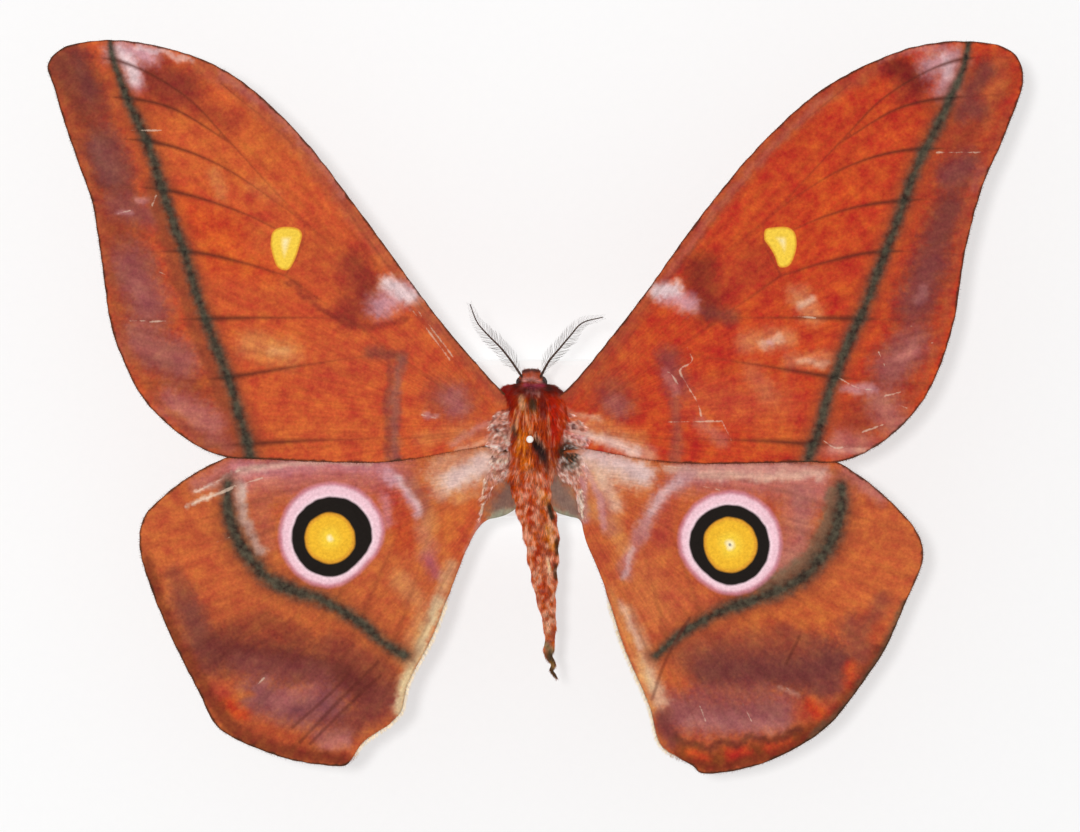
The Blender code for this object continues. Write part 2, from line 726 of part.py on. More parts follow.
def main():
    global model
    for obj in list(bpy.data.objects):
        bpy.data.objects.remove(obj)
    model = bpy.data.collections.new("emperor_moth")
    bpy.context.scene.collection.children.link(model)

    wing_finish = material("wing_scales", "#C0501F", 0.7)
    hind_finish = material("hindwing_scales", "#B5562C", 0.7)
    coat_finish = material("thorax_hair", "#A63A1C", 0.85)
    abdomen_finish = material("abdomen_hair", "#B4542F", 0.85)
    head_finish = material("head_hair", "#7A3430", 0.85)
    eye_finish = material("eye", "#1A100C", 0.2)
    horn_finish = material("antenna", "#4A2A18", 0.6)
    leg_finish = material("leg_hair", "#7E3A22", 0.85)
    base_finish = material("white_foam", "#EDEDEA", 0.9)
    pin_finish = material("pin_steel", "#C9C9C6", 0.3, 1.0)

    for name, made in wings().items():
        made.data.materials.append(wing_finish if name.startswith("fore") else hind_finish)

    sides = (("left", -1, ANTENNA_LEFT), ("right", 1, ANTENNA_RIGHT))
    head_cutters = []
    thorax_cutters = [abdomen("abdomen_room", GAP), head_core("head_room", GAP), pin("pin_room", GAP)]
    thorax_cutters += wings(GAP, "_room").values()
    for word, side, pixels in sides:
        antenna(f"antenna_{word}", pixels, horn_finish)
        eye(f"eye_{word}", side).data.materials.append(eye_finish)
        head_cutters.append(antenna_shaft(f"shaft_room_{word}", pixels, GAP))
        head_cutters.append(eye(f"eye_room_{word}", side, GAP))
        thorax_cutters.append(eye(f"eye_space_{word}", side, GAP))
        for order, joints in LEGS.items():
            leg(f"leg_{order}_{word}", joints, side).data.materials.append(leg_finish)
            thorax_cutters.append(leg(f"leg_room_{order}_{word}", joints, side, GAP))
    join_and_cut("head", [head_core("head"), *palps(), *face_locks()], head_cutters, head_finish)
    join_and_cut("abdomen", [abdomen("abdomen")], [tail("tail_room", GAP)], abdomen_finish)
    tail("tail_tuft").data.materials.append(abdomen_finish)
    coat = [*thorax_locks(), *wing_tufts()]
    join_and_cut("thorax", [thorax_core("thorax"), *coat], thorax_cutters, coat_finish)
    stand(base_finish, pin_finish)
    for made in model.objects:
        made.data.shade_smooth()
        made.data.set_sharp_from_angle(angle=math.radians(40))


main()
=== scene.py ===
import json
import math

import bmesh
import bpy
import numpy as np
from mathutils import Matrix, Vector, noise
from mathutils.geometry import delaunay_2d_cdt

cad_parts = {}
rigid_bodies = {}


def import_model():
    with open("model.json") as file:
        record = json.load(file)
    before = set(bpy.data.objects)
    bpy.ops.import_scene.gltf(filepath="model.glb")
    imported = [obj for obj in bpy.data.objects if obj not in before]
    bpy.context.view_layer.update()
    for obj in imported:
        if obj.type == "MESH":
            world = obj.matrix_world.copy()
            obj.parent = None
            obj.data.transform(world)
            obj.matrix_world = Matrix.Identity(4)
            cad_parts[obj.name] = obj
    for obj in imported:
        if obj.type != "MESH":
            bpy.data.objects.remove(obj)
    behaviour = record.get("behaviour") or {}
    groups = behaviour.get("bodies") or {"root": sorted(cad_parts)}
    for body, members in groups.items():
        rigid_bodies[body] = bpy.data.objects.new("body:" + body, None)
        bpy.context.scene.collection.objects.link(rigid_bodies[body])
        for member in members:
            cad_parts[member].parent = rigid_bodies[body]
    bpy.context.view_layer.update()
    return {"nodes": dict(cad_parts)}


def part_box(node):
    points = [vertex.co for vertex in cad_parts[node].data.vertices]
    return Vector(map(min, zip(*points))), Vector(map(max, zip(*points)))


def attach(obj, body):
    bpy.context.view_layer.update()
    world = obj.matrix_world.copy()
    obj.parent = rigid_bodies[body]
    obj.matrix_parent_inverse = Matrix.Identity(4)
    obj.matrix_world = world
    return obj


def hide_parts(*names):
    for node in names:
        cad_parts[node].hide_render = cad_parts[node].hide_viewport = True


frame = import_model()

# A set emperor moth on its pin, over a small stand, at life size. Metres, +Z up, +Y towards the head
# and +X towards the moth's right wings, as in the frame. The picture looks straight down on it.
MM = 0.001

# Stand
# A block of white closed-cell foam, cut square with rounded corners, as lines a specimen drawer. The pin
# is pushed into it, and it is the only thing that touches the table.
FOAM_CELL = 0.45 * MM
FOAM_PAINTED_GLOW = 0.58


def linear(tone):
    """An sRGB hex colour as linear RGBA."""
    channels = [int(tone[i:i + 2], 16) / 255 for i in (1, 3, 5)]
    return (*[c / 12.92 if c <= 0.04045 else ((c + 0.055) / 1.055) ** 2.4 for c in channels], 1.0)


def node(tree, kind, settings=None, inputs=None):
    """Adds a node: settings are its properties, and inputs are its sockets' values or links."""
    made = tree.nodes.new(kind)
    for name, value in (settings or {}).items():
        setattr(made, name, value)
    for socket, value in (inputs or {}).items():
        if isinstance(value, bpy.types.NodeSocket):
            tree.links.new(value, made.inputs[socket])
        else:
            made.inputs[socket].default_value = value
    return made


def new_finish(name, roughness, specular=0.3, sheen=0.0):
    """A material with its node tree, its shader and the places of its points on the model."""
    made = bpy.data.materials.new(name)
    made.use_nodes = True
    shader = made.node_tree.nodes["Principled BSDF"]
    looks = {"Roughness": roughness, "Specular IOR Level": specular, "Sheen Weight": sheen}
    for socket, value in looks.items():
        shader.inputs[socket].default_value = value
    return made, made.node_tree, shader, node(made.node_tree, "ShaderNodeTexCoord").outputs["Object"]


def grain(tree, place, scale, detail=2.0, roughness=0.5):
    """Noise at these places."""
    return node(tree, "ShaderNodeTexNoise", {}, {"Vector": place, "Scale": scale, "Detail": detail,
                                                 "Roughness": roughness}).outputs[0]


def blend(tree, share, first, second):
    """A tone between two, each a hex tone or a socket."""
    first, second = (linear(t) if isinstance(t, str) else t for t in (first, second))
    return node(tree, "ShaderNodeMix", {"data_type": "RGBA"}, {0: share, 6: first, 7: second}).outputs[2]


def dress(tree, shader, tone, height=None, distance=0.0, strength=0.6):
    """Gives a finish its colour, and its bump where a height is given."""
    tree.links.new(tone, shader.inputs["Base Color"])
    if height is not None:
        bump = node(tree, "ShaderNodeBump", {},
                    {"Height": height, "Distance": distance, "Strength": strength})
        tree.links.new(bump.outputs[0], shader.inputs["Normal"])


def glow(shader, strength):
    """Makes a surface glow white at this strength."""
    shader.inputs["Emission Color"].default_value = linear("#FFFFFF")
    shader.inputs["Emission Strength"].default_value = strength


# Closed-cell polyethylene foam, moulded white: dull, with cells that show as a fine pitting. It is given a
# painted glow, so that it is as light as the glowing table that it stands on.
foam, tree, shader, place = new_finish("closed_cell_foam", 0.85, 0.1)
cells = node(tree, "ShaderNodeTexVoronoi", {}, {"Vector": place, "Scale": 1 / FOAM_CELL}).outputs["Distance"]
clouds = grain(tree, place, 0.25 / FOAM_CELL, 3.0)
dress(tree, shader, blend(tree, clouds, "#ABABAA", "#B3B3B2"), cells, 0.03 * MM)
glow(shader, FOAM_PAINTED_GLOW)
frame["nodes"]["stand_base"].data.materials[0] = foam

# Pin
# The specimen's own pin: a drawn steel wire with a turned white head, down through the thorax into the foam.
pin_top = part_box("stand_pin")[1].z
PIN_HEAD_TALL = 0.86 * MM


def calc(tree, operation, *values):
    """Arithmetic of one kind on numbers or sockets."""
    return node(tree, "ShaderNodeMath", {"operation": operation}, dict(enumerate(values))).outputs[0]


# Polished stainless wire below and white nylon above, with the faint drawing lines that run along the wire
wire, tree, shader, place = new_finish("drawn_steel_and_nylon", 0.25, 0.5)
height = node(tree, "ShaderNodeSeparateXYZ", {}, {0: place}).outputs["Z"]
is_head = calc(tree, "GREATER_THAN", height, pin_top - PIN_HEAD_TALL)
tree.links.new(calc(tree, "SUBTRACT", 1.0, is_head), shader.inputs["Metallic"])
stretched = node(tree, "ShaderNodeMapping", {}, {"Vector": place, "Scale": (9000, 9000, 60)}).outputs[0]
dress(tree, shader, blend(tree, is_head, "#C6C6C2", "#F6F2EA"), grain(tree, stretched, 1.0), 0.01 * MM, 0.3)
frame["nodes"]["stand_pin"].data.materials[0] = wire

# Wings
# Two pairs of thin stiff membranes, held open by branching veins and covered on both sides with overlapping
# scales of powdery colour. The hindwings lie a little lower, with their front edges under the forewings.
PIXEL = 120 * MM / 972
PICTURE_PIN = np.array((530.0, 439.0))
FOREWING_Z = 25.8 * MM
WING_DROP = {"forewing": 0.0, "hindwing": 1.4 * MM}
WING_ROOT_X = 4 * MM
WING_RISE = 0.105
WING_DROOP = 0.85
MEMBRANE = 0.14 * MM
VEIN_RIDGE = 0.11 * MM
PLEAT = 0.12 * MM
MESH_STEP = 0.31 * MM
UNWRAP_MARGIN = 6
BODY_X = 536
MARGIN_HAIR_FROM = 592
NOISE_SEED = 7

# This noise starts from the clock unless it has a seed
noise.seed_set(NOISE_SEED)

FOREWING_VEINS = {
    "subcosta": [(500, 400), (400, 281), (300, 152), (222, 84)],
    "radius": [(490, 410), (412, 310), (305, 222), (232, 144)],
    "radius_apex": [(232, 144), (185, 96), (120, 62), (58, 58)],
    "radius_outer": [(232, 144), (165, 106), (56, 94)],
    "media_1": [(305, 222), (215, 163), (150, 142), (70, 140)],
    "media_2": [(303, 243), (240, 212), (163, 190), (88, 188)],
    "media_3": [(286, 276), (240, 262), (188, 252), (99, 256)],
    "cubitus_1": [(345, 318), (250, 318), (205, 319), (107, 322)],
    "cubitus_2": [(392, 352), (300, 366), (222, 378), (130, 384)],
    "cubitus": [(490, 420), (392, 352), (345, 318), (286, 276)],
    "cell_end": [(305, 222), (303, 243), (286, 276)],
    "anal": [(488, 432), (400, 438), (300, 441), (200, 447)],
}
FOREWING_VEINS_RIGHT = {
    "media_1": [(763, 222), (799, 195), (847, 167), (903, 151), (1000, 151)],
    "media_2": [(766, 243), (821, 218), (858, 207), (903, 201), (982, 199)],
}
HINDWING_VEINS = {
    "subcosta": [(488, 452), (380, 455), (250, 468), (164, 502)],
    "radius": [(488, 460), (430, 474), (330, 480), (230, 510), (140, 540)],
    "media_1": [(350, 500), (270, 530), (146, 581)],
    "media_2": [(362, 530), (280, 590), (174, 648)],
    "media_3": [(372, 552), (300, 640), (210, 720)],
    "cubitus": [(488, 470), (440, 500), (400, 528), (372, 552)],
    "cubitus_1": [(400, 528), (350, 640), (286, 760)],
    "cubitus_2": [(440, 500), (395, 640), (350, 750)],
    "cell_end": [(360, 477), (350, 500), (362, 530), (372, 552)],
    "anal": [(492, 482), (455, 556), (412, 660)],
}
FOREWING_MIRROR = (1074, -1.0, -0.027)
HINDWING_MIRROR = (1097, -0.99, -0.06)

# Pigments, named for what they look like on the wing
RUST = "#C4532A"
RED_RUST = "#BE421F"
ORANGE = "#C9682F"
FLAME = "#CB4C1C"
AMBER = "#D08A4E"
CREAM = "#DCC296"
CREAM_PINK = "#DDB8A2"
ROSE = "#C9929A"
ROSE_WHITE = "#DFC4C4"
DUSK_ROSE = "#BA6E66"
MAUVE = "#985048"
HEATHER = "#8A4A44"
PLUM = "#763A34"
WINE = "#842E22"
BARK = "#8E4426"
UMBER = "#6E3020"
INK = "#1A1410"
PINK_RING = "#EEC4CE"
YOLK = "#EDB62C"
BRIGHT_YOLK = "#F6D240"
PALE_YOLK = "#FBF0C8"
SCRATCH = "#E3C8B2"

# Each marking is a stroke: its pigment, strength, half-width and line, laid one over the other in order.
# A few strokes are painted shade and shadow, not pigment.
WINGS = {
    "forewing_left": {
        "outline": [
            (520, 406), (500, 389), (440, 320), (360, 212), (300, 135), (240, 80), (200, 59), (160, 47),
            (120, 41), (85, 43), (60, 51), (49, 66), (55, 88), (71, 140), (87, 184), (93, 202), (105, 280),
            (111, 322), (124, 360), (146, 401), (187, 439), (222, 456), (262, 459), (386, 462), (450, 452),
            (510, 440), (521, 434),
        ],
        "ground": RUST,
        "strokes": [
            (ORANGE, 0.4, 42, [(270, 150), (180, 126)]),
            (FLAME, 0.6, 26, [(225, 235), (180, 215)]),
            (FLAME, 0.4, 16, [(270, 270), (210, 262)]),
            ("#B84A2C", 0.5, 30, [(330, 360), (400, 350)]),
            (ORANGE, 0.35, 14, [(280, 436), (380, 430)]),
            ("#A8563A", 0.65, 12, [(505, 396), (440, 326), (360, 220), (300, 143), (240, 88), (200, 66)]),
            (DUSK_ROSE, 0.5, 5, [(344, 194), (310, 148), (268, 106), (222, 76)]),
            ("#8C3C26", 0.85, 30, [(70, 70), (92, 120), (112, 190), (130, 270), (150, 340), (196, 410),
                                   (232, 446)]),
            ("#7A3A2C", 0.85, 22, [(66, 62), (92, 100)]),
            ("#6E3836", 0.5, 9, [(80, 58), (90, 94)]),
            ("#B2502E", 0.6, 6, [(104, 60), (114, 90), (124, 116)]),
            ("#7E3024", 0.85, 20, [(150, 74), (184, 88)]),
            (WINE, 0.4, 13, [(134, 96), (184, 103), (232, 120)]),
            (ROSE, 0.95, 14, [(118, 52), (148, 54)]),
            (ROSE, 0.9, 11, [(130, 66), (136, 84)]),
            (ROSE_WHITE, 0.9, 8, [(116, 52), (128, 62), (134, 80)]),
            (ROSE_WHITE, 0.6, 3, [(136, 47), (166, 53), (190, 62)]),
            ("#7E423A", 0.9, 19, [(104, 142), (120, 174)]),
            (PLUM, 0.4, 10, [(114, 182), (134, 198)]),
            ("#8E4A42", 0.85, 15, [(118, 204), (152, 216)]),
            (ROSE, 0.5, 3, [(121, 213), (130, 212)]),
            (ROSE, 0.45, 4, [(138, 200), (156, 198)]),
            ("#95504A", 0.95, 24, [(130, 264), (150, 306)]),
            ("#8A463E", 0.4, 9, [(134, 262), (150, 262)]),
            (DUSK_ROSE, 0.3, 8, [(134, 286), (146, 300)]),
            ("#A05A50", 0.92, 22, [(138, 340), (182, 360)]),
            (HEATHER, 0.4, 8, [(150, 360), (176, 366)]),
            ("#B4685E", 0.88, 18, [(172, 404), (212, 422)]),
            (MAUVE, 0.6, 9, [(196, 436), (232, 446)]),
            ("#A04E2E", 0.6, 5, [(64, 96), (82, 150), (98, 204), (112, 280), (119, 326), (136, 366),
                                 (160, 402), (200, 438)]),
            ("#8A4028", 0.75, 7, [(152, 186), (166, 240), (180, 284), (194, 326), (210, 366), (224, 404)]),
            ("#7A4642", 0.6, 12, [(96, 150), (108, 176)]),
            ("#B04A28", 0.5, 30, [(324, 256), (356, 286)]),
            (WINE, 0.75, 19, [(354, 266), (372, 300), (350, 312)]),
            ("#7A2A20", 0.6, 10, [(370, 290), (376, 306)]),
            (WINE, 0.6, 4, [(290, 282), (320, 308), (346, 322), (372, 327), (404, 320)]),
            (ROSE, 0.85, 14, [(380, 306), (408, 290)]),
            (ROSE_WHITE, 0.95, 9, [(386, 284), (412, 298)]),
            ("#A5503A", 0.5, 8, [(420, 306), (440, 330)]),
            (AMBER, 0.65, 16, [(250, 344), (288, 354)]),
            ("#D8A070", 0.4, 5, [(272, 350), (286, 352)]),
            (AMBER, 0.5, 7, [(214, 172), (222, 196)]),
            (AMBER, 0.3, 9, [(254, 186), (276, 196)]),
            (PLUM, 0.6, 7, [(368, 352), (402, 356)]),
            ("#8E5046", 0.85, 6, [(402, 360), (394, 400), (396, 464)]),
            (PLUM, 0.5, 4, [(390, 366), (386, 410), (389, 462)]),
            ("#8A4038", 0.65, 24, [(446, 398), (456, 402)]),
            ("#A8605C", 0.85, 13, [(452, 396), (457, 406)]),
            (ROSE, 0.6, 3.5, [(424, 414), (436, 417)]),
            ("#BE6A4C", 0.6, 12, [(462, 440), (500, 424)]),
            (ROSE, 0.4, 4, [(452, 444), (486, 424)]),
            (CREAM_PINK, 0.5, 3.5, [(456, 452), (502, 434)]),
            (AMBER, 0.4, 9, [(420, 440), (460, 432)]),
        ],
        "band": [
            (111, 42), (114, 60), (121, 80), (129, 102), (147, 140), (160, 180), (173, 220), (188, 262),
            (199, 300), (214, 340), (229, 380), (241, 420), (250, 452), (254, 470),
        ],
        "band_width": (3.4, 8, 8.4),
        "spots": [[(271, 245), (273, 233), (280, 228), (298, 229), (302, 234), (299, 248), (294, 262),
                   (288, 270), (279, 268), (274, 258)]],
        "scratches": [
            [(413, 311), (430, 333), (450, 360)], [(418, 311), (436, 334), (453, 357)],
            [(131, 321), (146, 321)], [(150, 322), (166, 321)], [(119, 214), (131, 211)],
            [(422, 415), (435, 418)], [(130, 131), (162, 131)], [(157, 196), (153, 206)],
            [(160, 272), (166, 275)],
        ],
        "turn_about": (362, 190),
        "root": (512, 428),
    },
    "forewing_right": {
        "outline": [
            (541, 406), (551, 400), (565, 391), (640, 300), (700, 217), (760, 145), (820, 91), (880, 59),
            (920, 46), (960, 42), (1000, 47), (1016, 58), (1022, 80), (1006, 130), (982, 186), (964, 253),
            (953, 322), (934, 379), (912, 414), (876, 446), (842, 461), (800, 462), (680, 463), (620, 455),
            (552, 440), (541, 434),
        ],
        "ground": RED_RUST,
        "strokes": [
            (FLAME, 0.45, 34, [(800, 244), (836, 200)]),
            ("#B5532E", 0.4, 26, [(620, 350), (600, 380)]),
            ("#BE5634", 0.6, 26, [(700, 400), (780, 404)]),
            ("#A04C32", 0.65, 10, [(567, 394), (642, 305), (704, 222), (764, 150), (824, 97), (880, 66)]),
            (DUSK_ROSE, 0.3, 4, [(660, 286), (716, 210), (776, 142), (830, 94)]),
            (ROSE, 0.45, 3.5, [(880, 62), (906, 51), (944, 48)]),
            ("#8E3A26", 0.75, 28, [(988, 80), (964, 130), (946, 200), (928, 270), (908, 340), (880, 400),
                                   (850, 438)]),
            ("#B0522E", 0.8, 12, [(1000, 64), (994, 96), (984, 120)]),
            ("#B0482A", 0.6, 8, [(996, 124), (976, 176), (958, 240)]),
            ("#702018", 0.9, 15, [(896, 68), (918, 80)]),
            (WINE, 0.5, 13, [(900, 92), (934, 100)]),
            ("#B98488", 0.97, 16, [(930, 66), (952, 60), (946, 90)]),
            (ROSE_WHITE, 0.5, 6, [(944, 58), (950, 76)]),
            (PLUM, 0.75, 11, [(966, 96), (984, 72)]),
            (PLUM, 0.8, 12, [(960, 112), (976, 110)]),
            ("#7C3E3A", 0.9, 17, [(950, 176), (966, 166)]),
            (DUSK_ROSE, 0.5, 5, [(972, 188), (982, 172)]),
            ("#763A34", 0.85, 17, [(950, 208), (936, 238)]),
            ("#7C3C38", 0.95, 21, [(930, 264), (914, 304)]),
            ("#A46A6A", 0.5, 6, [(924, 290), (918, 300)]),
            ("#99544E", 0.95, 21, [(912, 344), (890, 368)]),
            (DUSK_ROSE, 0.6, 7, [(900, 358), (912, 350)]),
            ("#B06A5E", 0.85, 20, [(882, 404), (896, 424)]),
            (DUSK_ROSE, 0.7, 13, [(838, 440), (868, 446)]),
            (CREAM_PINK, 0.5, 4, [(832, 448), (864, 452)]),
            (DUSK_ROSE, 0.6, 9, [(812, 452), (845, 450)]),
            ("#A24A30", 0.5, 5, [(1010, 110), (974, 190), (956, 260), (944, 322), (926, 376), (904, 410)]),
            ("#76261A", 0.85, 20, [(700, 270), (706, 304)]),
            ("#A03A22", 0.5, 26, [(724, 286), (760, 262)]),
            (ROSE, 0.9, 11, [(664, 292), (690, 304)]),
            (ROSE_WHITE, 0.95, 8, [(655, 292), (676, 288)]),
            (PLUM, 0.6, 8, [(706, 312), (734, 318)]),
            ("#CB7851", 0.85, 13, [(798, 296), (812, 314)]),
            (CREAM_PINK, 0.65, 5, [(800, 306), (812, 298)]),
            ("#CB7851", 0.75, 12, [(746, 342), (786, 338)]),
            (CREAM_PINK, 0.6, 5, [(762, 346), (780, 338)]),
            (ROSE, 0.5, 3, [(769, 341), (773, 343)]),
            ("#CB7851", 0.75, 10, [(790, 362), (830, 358)]),
            (CREAM_PINK, 0.5, 4, [(800, 360), (826, 364)]),
            ("#C67650", 0.5, 12, [(752, 372), (768, 394)]),
            (ROSE, 0.7, 6, [(842, 388), (872, 390)]),
            ("#8A3A3A", 0.85, 14, [(668, 358), (676, 388)]),
            (DUSK_ROSE, 0.6, 5, [(664, 372), (676, 392)]),
            ("#96483E", 0.7, 7, [(676, 404), (676, 462)]),
            (DUSK_ROSE, 0.55, 9, [(700, 424), (722, 440)]),
            ("#8A3C34", 0.7, 22, [(612, 394), (616, 402)]),
            ("#A25850", 0.8, 11, [(612, 402), (620, 408)]),
            ("#D09A84", 0.7, 10, [(572, 428), (612, 440), (650, 456)]),
            (AMBER, 0.5, 10, [(596, 424), (640, 440)]),
            ("#E2BEB4", 0.75, 6, [(570, 428), (600, 438), (636, 452)]),
            (CREAM_PINK, 0.5, 4, [(600, 420), (560, 412)]),
            (ORANGE, 0.4, 14, [(760, 438), (800, 440)]),
        ],
        "band": [
            (968, 42), (962, 70), (949, 100), (937, 126), (921, 156), (905, 196), (893, 232), (881, 262),
            (868, 298), (846, 348), (829, 392), (818, 430), (808, 458), (806, 472),
        ],
        "band_width": (3.4, 8, 8),
        "spots": [[(764, 240), (765, 230), (772, 228), (788, 228), (794, 233), (796, 245), (793, 258),
                   (788, 266), (779, 267), (775, 257), (770, 248)]],
        "scratches": [
            [(687, 348), (692, 361), (680, 370), (686, 383), (698, 404), (701, 416)],
            [(666, 422), (722, 421)], [(722, 421), (731, 440)], [(936, 153), (982, 153)],
            [(838, 378), (858, 388), (876, 390)], [(658, 376), (668, 372), (678, 384)],
            [(905, 327), (913, 326)], [(931, 343), (938, 341)], [(896, 404), (906, 408)],
            [(862, 432), (884, 424)], [(822, 440), (836, 448), (852, 444)],
            [(793, 316), (815, 318)], [(878, 352), (884, 366)], [(884, 396), (900, 392)],
        ],
        "turn_about": (716, 190),
        "root": (556, 428),
    },
    "hindwing_left": {
        "outline": [
            (521, 454), (470, 444), (350, 440), (250, 450), (200, 470), (160, 499), (143, 520), (140, 548),
            (148, 579), (170, 634), (200, 694), (218, 727), (258, 749), (296, 761), (322, 765), (344, 766),
            (350, 762), (361, 745), (399, 715), (408, 684), (432, 638), (448, 597), (475, 533), (486, 521),
            (500, 517), (513, 511), (521, 500),
        ],
        "ground": "#BF6032",
        "strokes": [
            ("#C0562E", 0.5, 34, [(170, 540), (220, 600)]),
            ("#BC5A30", 0.6, 30, [(400, 570), (380, 620), (410, 600)]),
            (ORANGE, 0.5, 16, [(280, 616), (330, 630)]),
            (RED_RUST, 0.6, 15, [(396, 484), (404, 540)]),
            ("#A83A2A", 0.6, 12, [(376, 486), (394, 512)]),
            ("#BC6A62", 0.85, 26, [(238, 476), (330, 472), (392, 472)]),
            ("#B35C42", 0.8, 14, [(260, 500), (266, 540)]),
            ("#CAACA0", 0.95, 6.5, [(240, 484), (240, 500), (243, 518), (249, 534), (260, 551)]),
            (DUSK_ROSE, 0.75, 11, [(200, 484), (238, 466)]),
            ("#C67C82", 0.8, 9, [(236, 470), (330, 464), (384, 468)]),
            ("#C67C82", 0.7, 7, [(384, 500), (388, 524)]),
            (CREAM_PINK, 0.6, 3.5, [(240, 470), (330, 461), (372, 464)]),
            (CREAM_PINK, 0.4, 3.5, [(210, 488), (262, 466)]),
            (ROSE, 0.85, 7, [(386, 474), (404, 486), (418, 512)]),
            (ROSE_WHITE, 0.6, 3.5, [(396, 476), (412, 494), (421, 514)]),
            ("#9A5A4C", 0.6, 7, [(408, 480), (424, 500), (428, 520)]),
            (DUSK_ROSE, 0.6, 9, [(424, 530), (430, 556)]),
            ("#A85058", 0.85, 9, [(426, 556), (436, 574)]),
            (CREAM_PINK, 0.85, 20, [(446, 474), (492, 462)]),
            (CREAM_PINK, 0.5, 10, [(440, 494), (468, 476)]),
            ("#C87850", 0.6, 6, [(436, 470), (470, 456)]),
            (ORANGE, 0.8, 15, [(448, 530), (462, 512)]),
            ("#D49060", 0.6, 6, [(456, 500), (476, 494)]),
            (AMBER, 0.5, 9, [(432, 520), (424, 548)]),
            ("#C0502A", 0.7, 9, [(474, 512), (455, 552)]),
            ("#C98A5A", 0.5, 12, [(400, 580), (420, 604)]),
            ("#A84E2C", 0.7, 34, [(200, 620), (280, 644), (376, 676)]),
            ("#8E4832", 0.7, 12, [(174, 576), (186, 600)]),
            (PLUM, 0.8, 13, [(192, 612), (204, 644)]),
            ("#8A4028", 0.7, 12, [(214, 640), (264, 620), (300, 636)]),
            ("#6A2E26", 0.95, 24, [(218, 652), (284, 662), (340, 672), (372, 694)]),
            (HEATHER, 0.5, 14, [(240, 664), (320, 676)]),
            ("#86402C", 0.7, 14, [(330, 644), (376, 666), (396, 690)]),
            ("#7C3A30", 0.85, 18, [(386, 700), (352, 724), (330, 716)]),
            ("#874A4A", 0.95, 22, [(258, 696), (300, 710), (326, 702)]),
            (DUSK_ROSE, 0.35, 10, [(276, 700), (312, 692)]),
            ("#A8685E", 0.5, 5, [(256, 690), (266, 680)]),
            ("#9A5850", 0.85, 10, [(316, 738), (344, 736)]),
            (DUSK_ROSE, 0.75, 8, [(324, 748), (346, 742)]),
            ("#A8402A", 0.85, 11, [(216, 690), (226, 700)]),
            ("#C4441C", 0.85, 9, [(226, 706), (242, 716)]),
            (ORANGE, 0.6, 5, [(248, 694), (234, 698)]),
            ("#9E4426", 0.95, 13, [(246, 730), (270, 738), (300, 744)]),
            ("#B4502A", 0.7, 6, [(264, 730), (292, 740)]),
            ("#A84228", 0.8, 6, [(300, 756), (344, 758)]),
            ("#7A4034", 0.5, 17, [(182, 604), (196, 640), (208, 666)]),
            ("#7A341C", 0.85, 8, [(146, 560), (158, 600), (176, 640), (206, 690), (230, 728), (262, 748),
                                  (346, 761)]),
            (CREAM, 0.95, 8, [(438, 604), (422, 640), (406, 680), (400, 710)]),
            ("#D2A880", 0.6, 8, [(452, 566), (438, 604)]),
            ("#C88A58", 0.6, 9, [(420, 620), (402, 660)]),
            (ROSE, 0.6, 5, [(482, 526), (468, 552)]),
            (ROSE_WHITE, 0.6, 11, [(452, 480), (486, 462)]),
            ("#E8CDB8", 0.85, 1.8, [(186, 506), (212, 496), (234, 486)]),
            ("#E4C4B4", 0.75, 1.6, [(196, 492), (224, 478), (240, 470)]),
            # The web of membrane beside the abdomen: its own mauve grey, darkened with painted shade under
            # the hair fringe, and a pale grey-green edge
            ("#7E5C50", 1.0, 15, [(516, 484), (506, 500), (498, 512)]),
            ("#9AA48C", 0.8, 5, [(492, 519), (508, 515), (520, 510)]),
        ],
        "band": [
            (228, 484), (227, 498), (229, 512), (236, 536), (250, 558), (268, 578), (290, 590),
            (322, 600), (343, 612), (362, 624), (380, 640), (392, 649), (404, 656),
        ],
        "band_width": (7.5, 11.5, 8),
        "rings": {
            "pink": ((331.8, 535.4), 52.4, 45, 0.13),
            "black": ((332.2, 537.2), 40.8, 45, 0.11),
            "yolk": ((330.2, 538.2), 25.8, 330, 0.05),
        },
        "scratches": [
            [(186, 505), (212, 496), (238, 484)], [(192, 504), (232, 489)], [(217, 542), (230, 537)],
            [(196, 492), (240, 470)], [(252, 690), (264, 678)], [(236, 486), (262, 478)],
        ],
        "folds": [[(300, 742), (344, 696), (378, 662)], [(310, 744), (350, 704), (380, 676)],
                  [(292, 728), (336, 688), (352, 668)]],
        "turn_about": (330, 430),
        "root": (512, 470),
    },
    "hindwing_right": {
        "outline": [
            (543, 454), (600, 444), (720, 440), (810, 450), (860, 476), (900, 511), (918, 534), (923, 557),
            (904, 606), (885, 649), (861, 685), (828, 726), (785, 754), (740, 770), (700, 773), (694, 767),
            (680, 759), (661, 746), (649, 706), (624, 648), (602, 580), (585, 538), (580, 520), (570, 517),
            (556, 512), (546, 500),
        ],
        "ground": "#BC5A30",
        "strokes": [
            ("#C46030", 0.5, 34, [(880, 560), (840, 600)]),
            ("#BE5E2C", 0.6, 22, [(750, 622), (820, 612)]),
            ("#A84C2C", 0.6, 18, [(800, 640), (740, 640), (690, 650)]),
            ("#C2683C", 0.6, 26, [(636, 572), (660, 610)]),
            ("#A83C30", 0.7, 11, [(668, 492), (660, 540)]),
            ("#B85034", 0.6, 12, [(676, 592), (708, 606)]),
            ("#B8685E", 0.9, 22, [(690, 474), (780, 480), (830, 490)]),
            ("#B06C62", 0.85, 20, [(800, 500), (796, 548), (780, 566)]),
            ("#B85C48", 0.5, 7, [(786, 500), (792, 540)]),
            (DUSK_ROSE, 0.8, 9, [(846, 470), (880, 496)]),
            ("#D49A8E", 0.8, 10, [(690, 470), (760, 468), (820, 472)]),
            ("#D8A894", 0.85, 5, [(664, 468), (700, 474), (760, 478), (820, 474)]),
            ("#6A6A56", 0.95, 7, [(832, 490), (831, 508), (825, 528), (816, 546), (802, 562), (786, 576),
                                  (762, 588)]),
            ("#C08A88", 0.85, 9, [(688, 476), (664, 494), (650, 514), (642, 532)]),
            (ROSE_WHITE, 0.4, 5, [(680, 480), (662, 494), (650, 512)]),
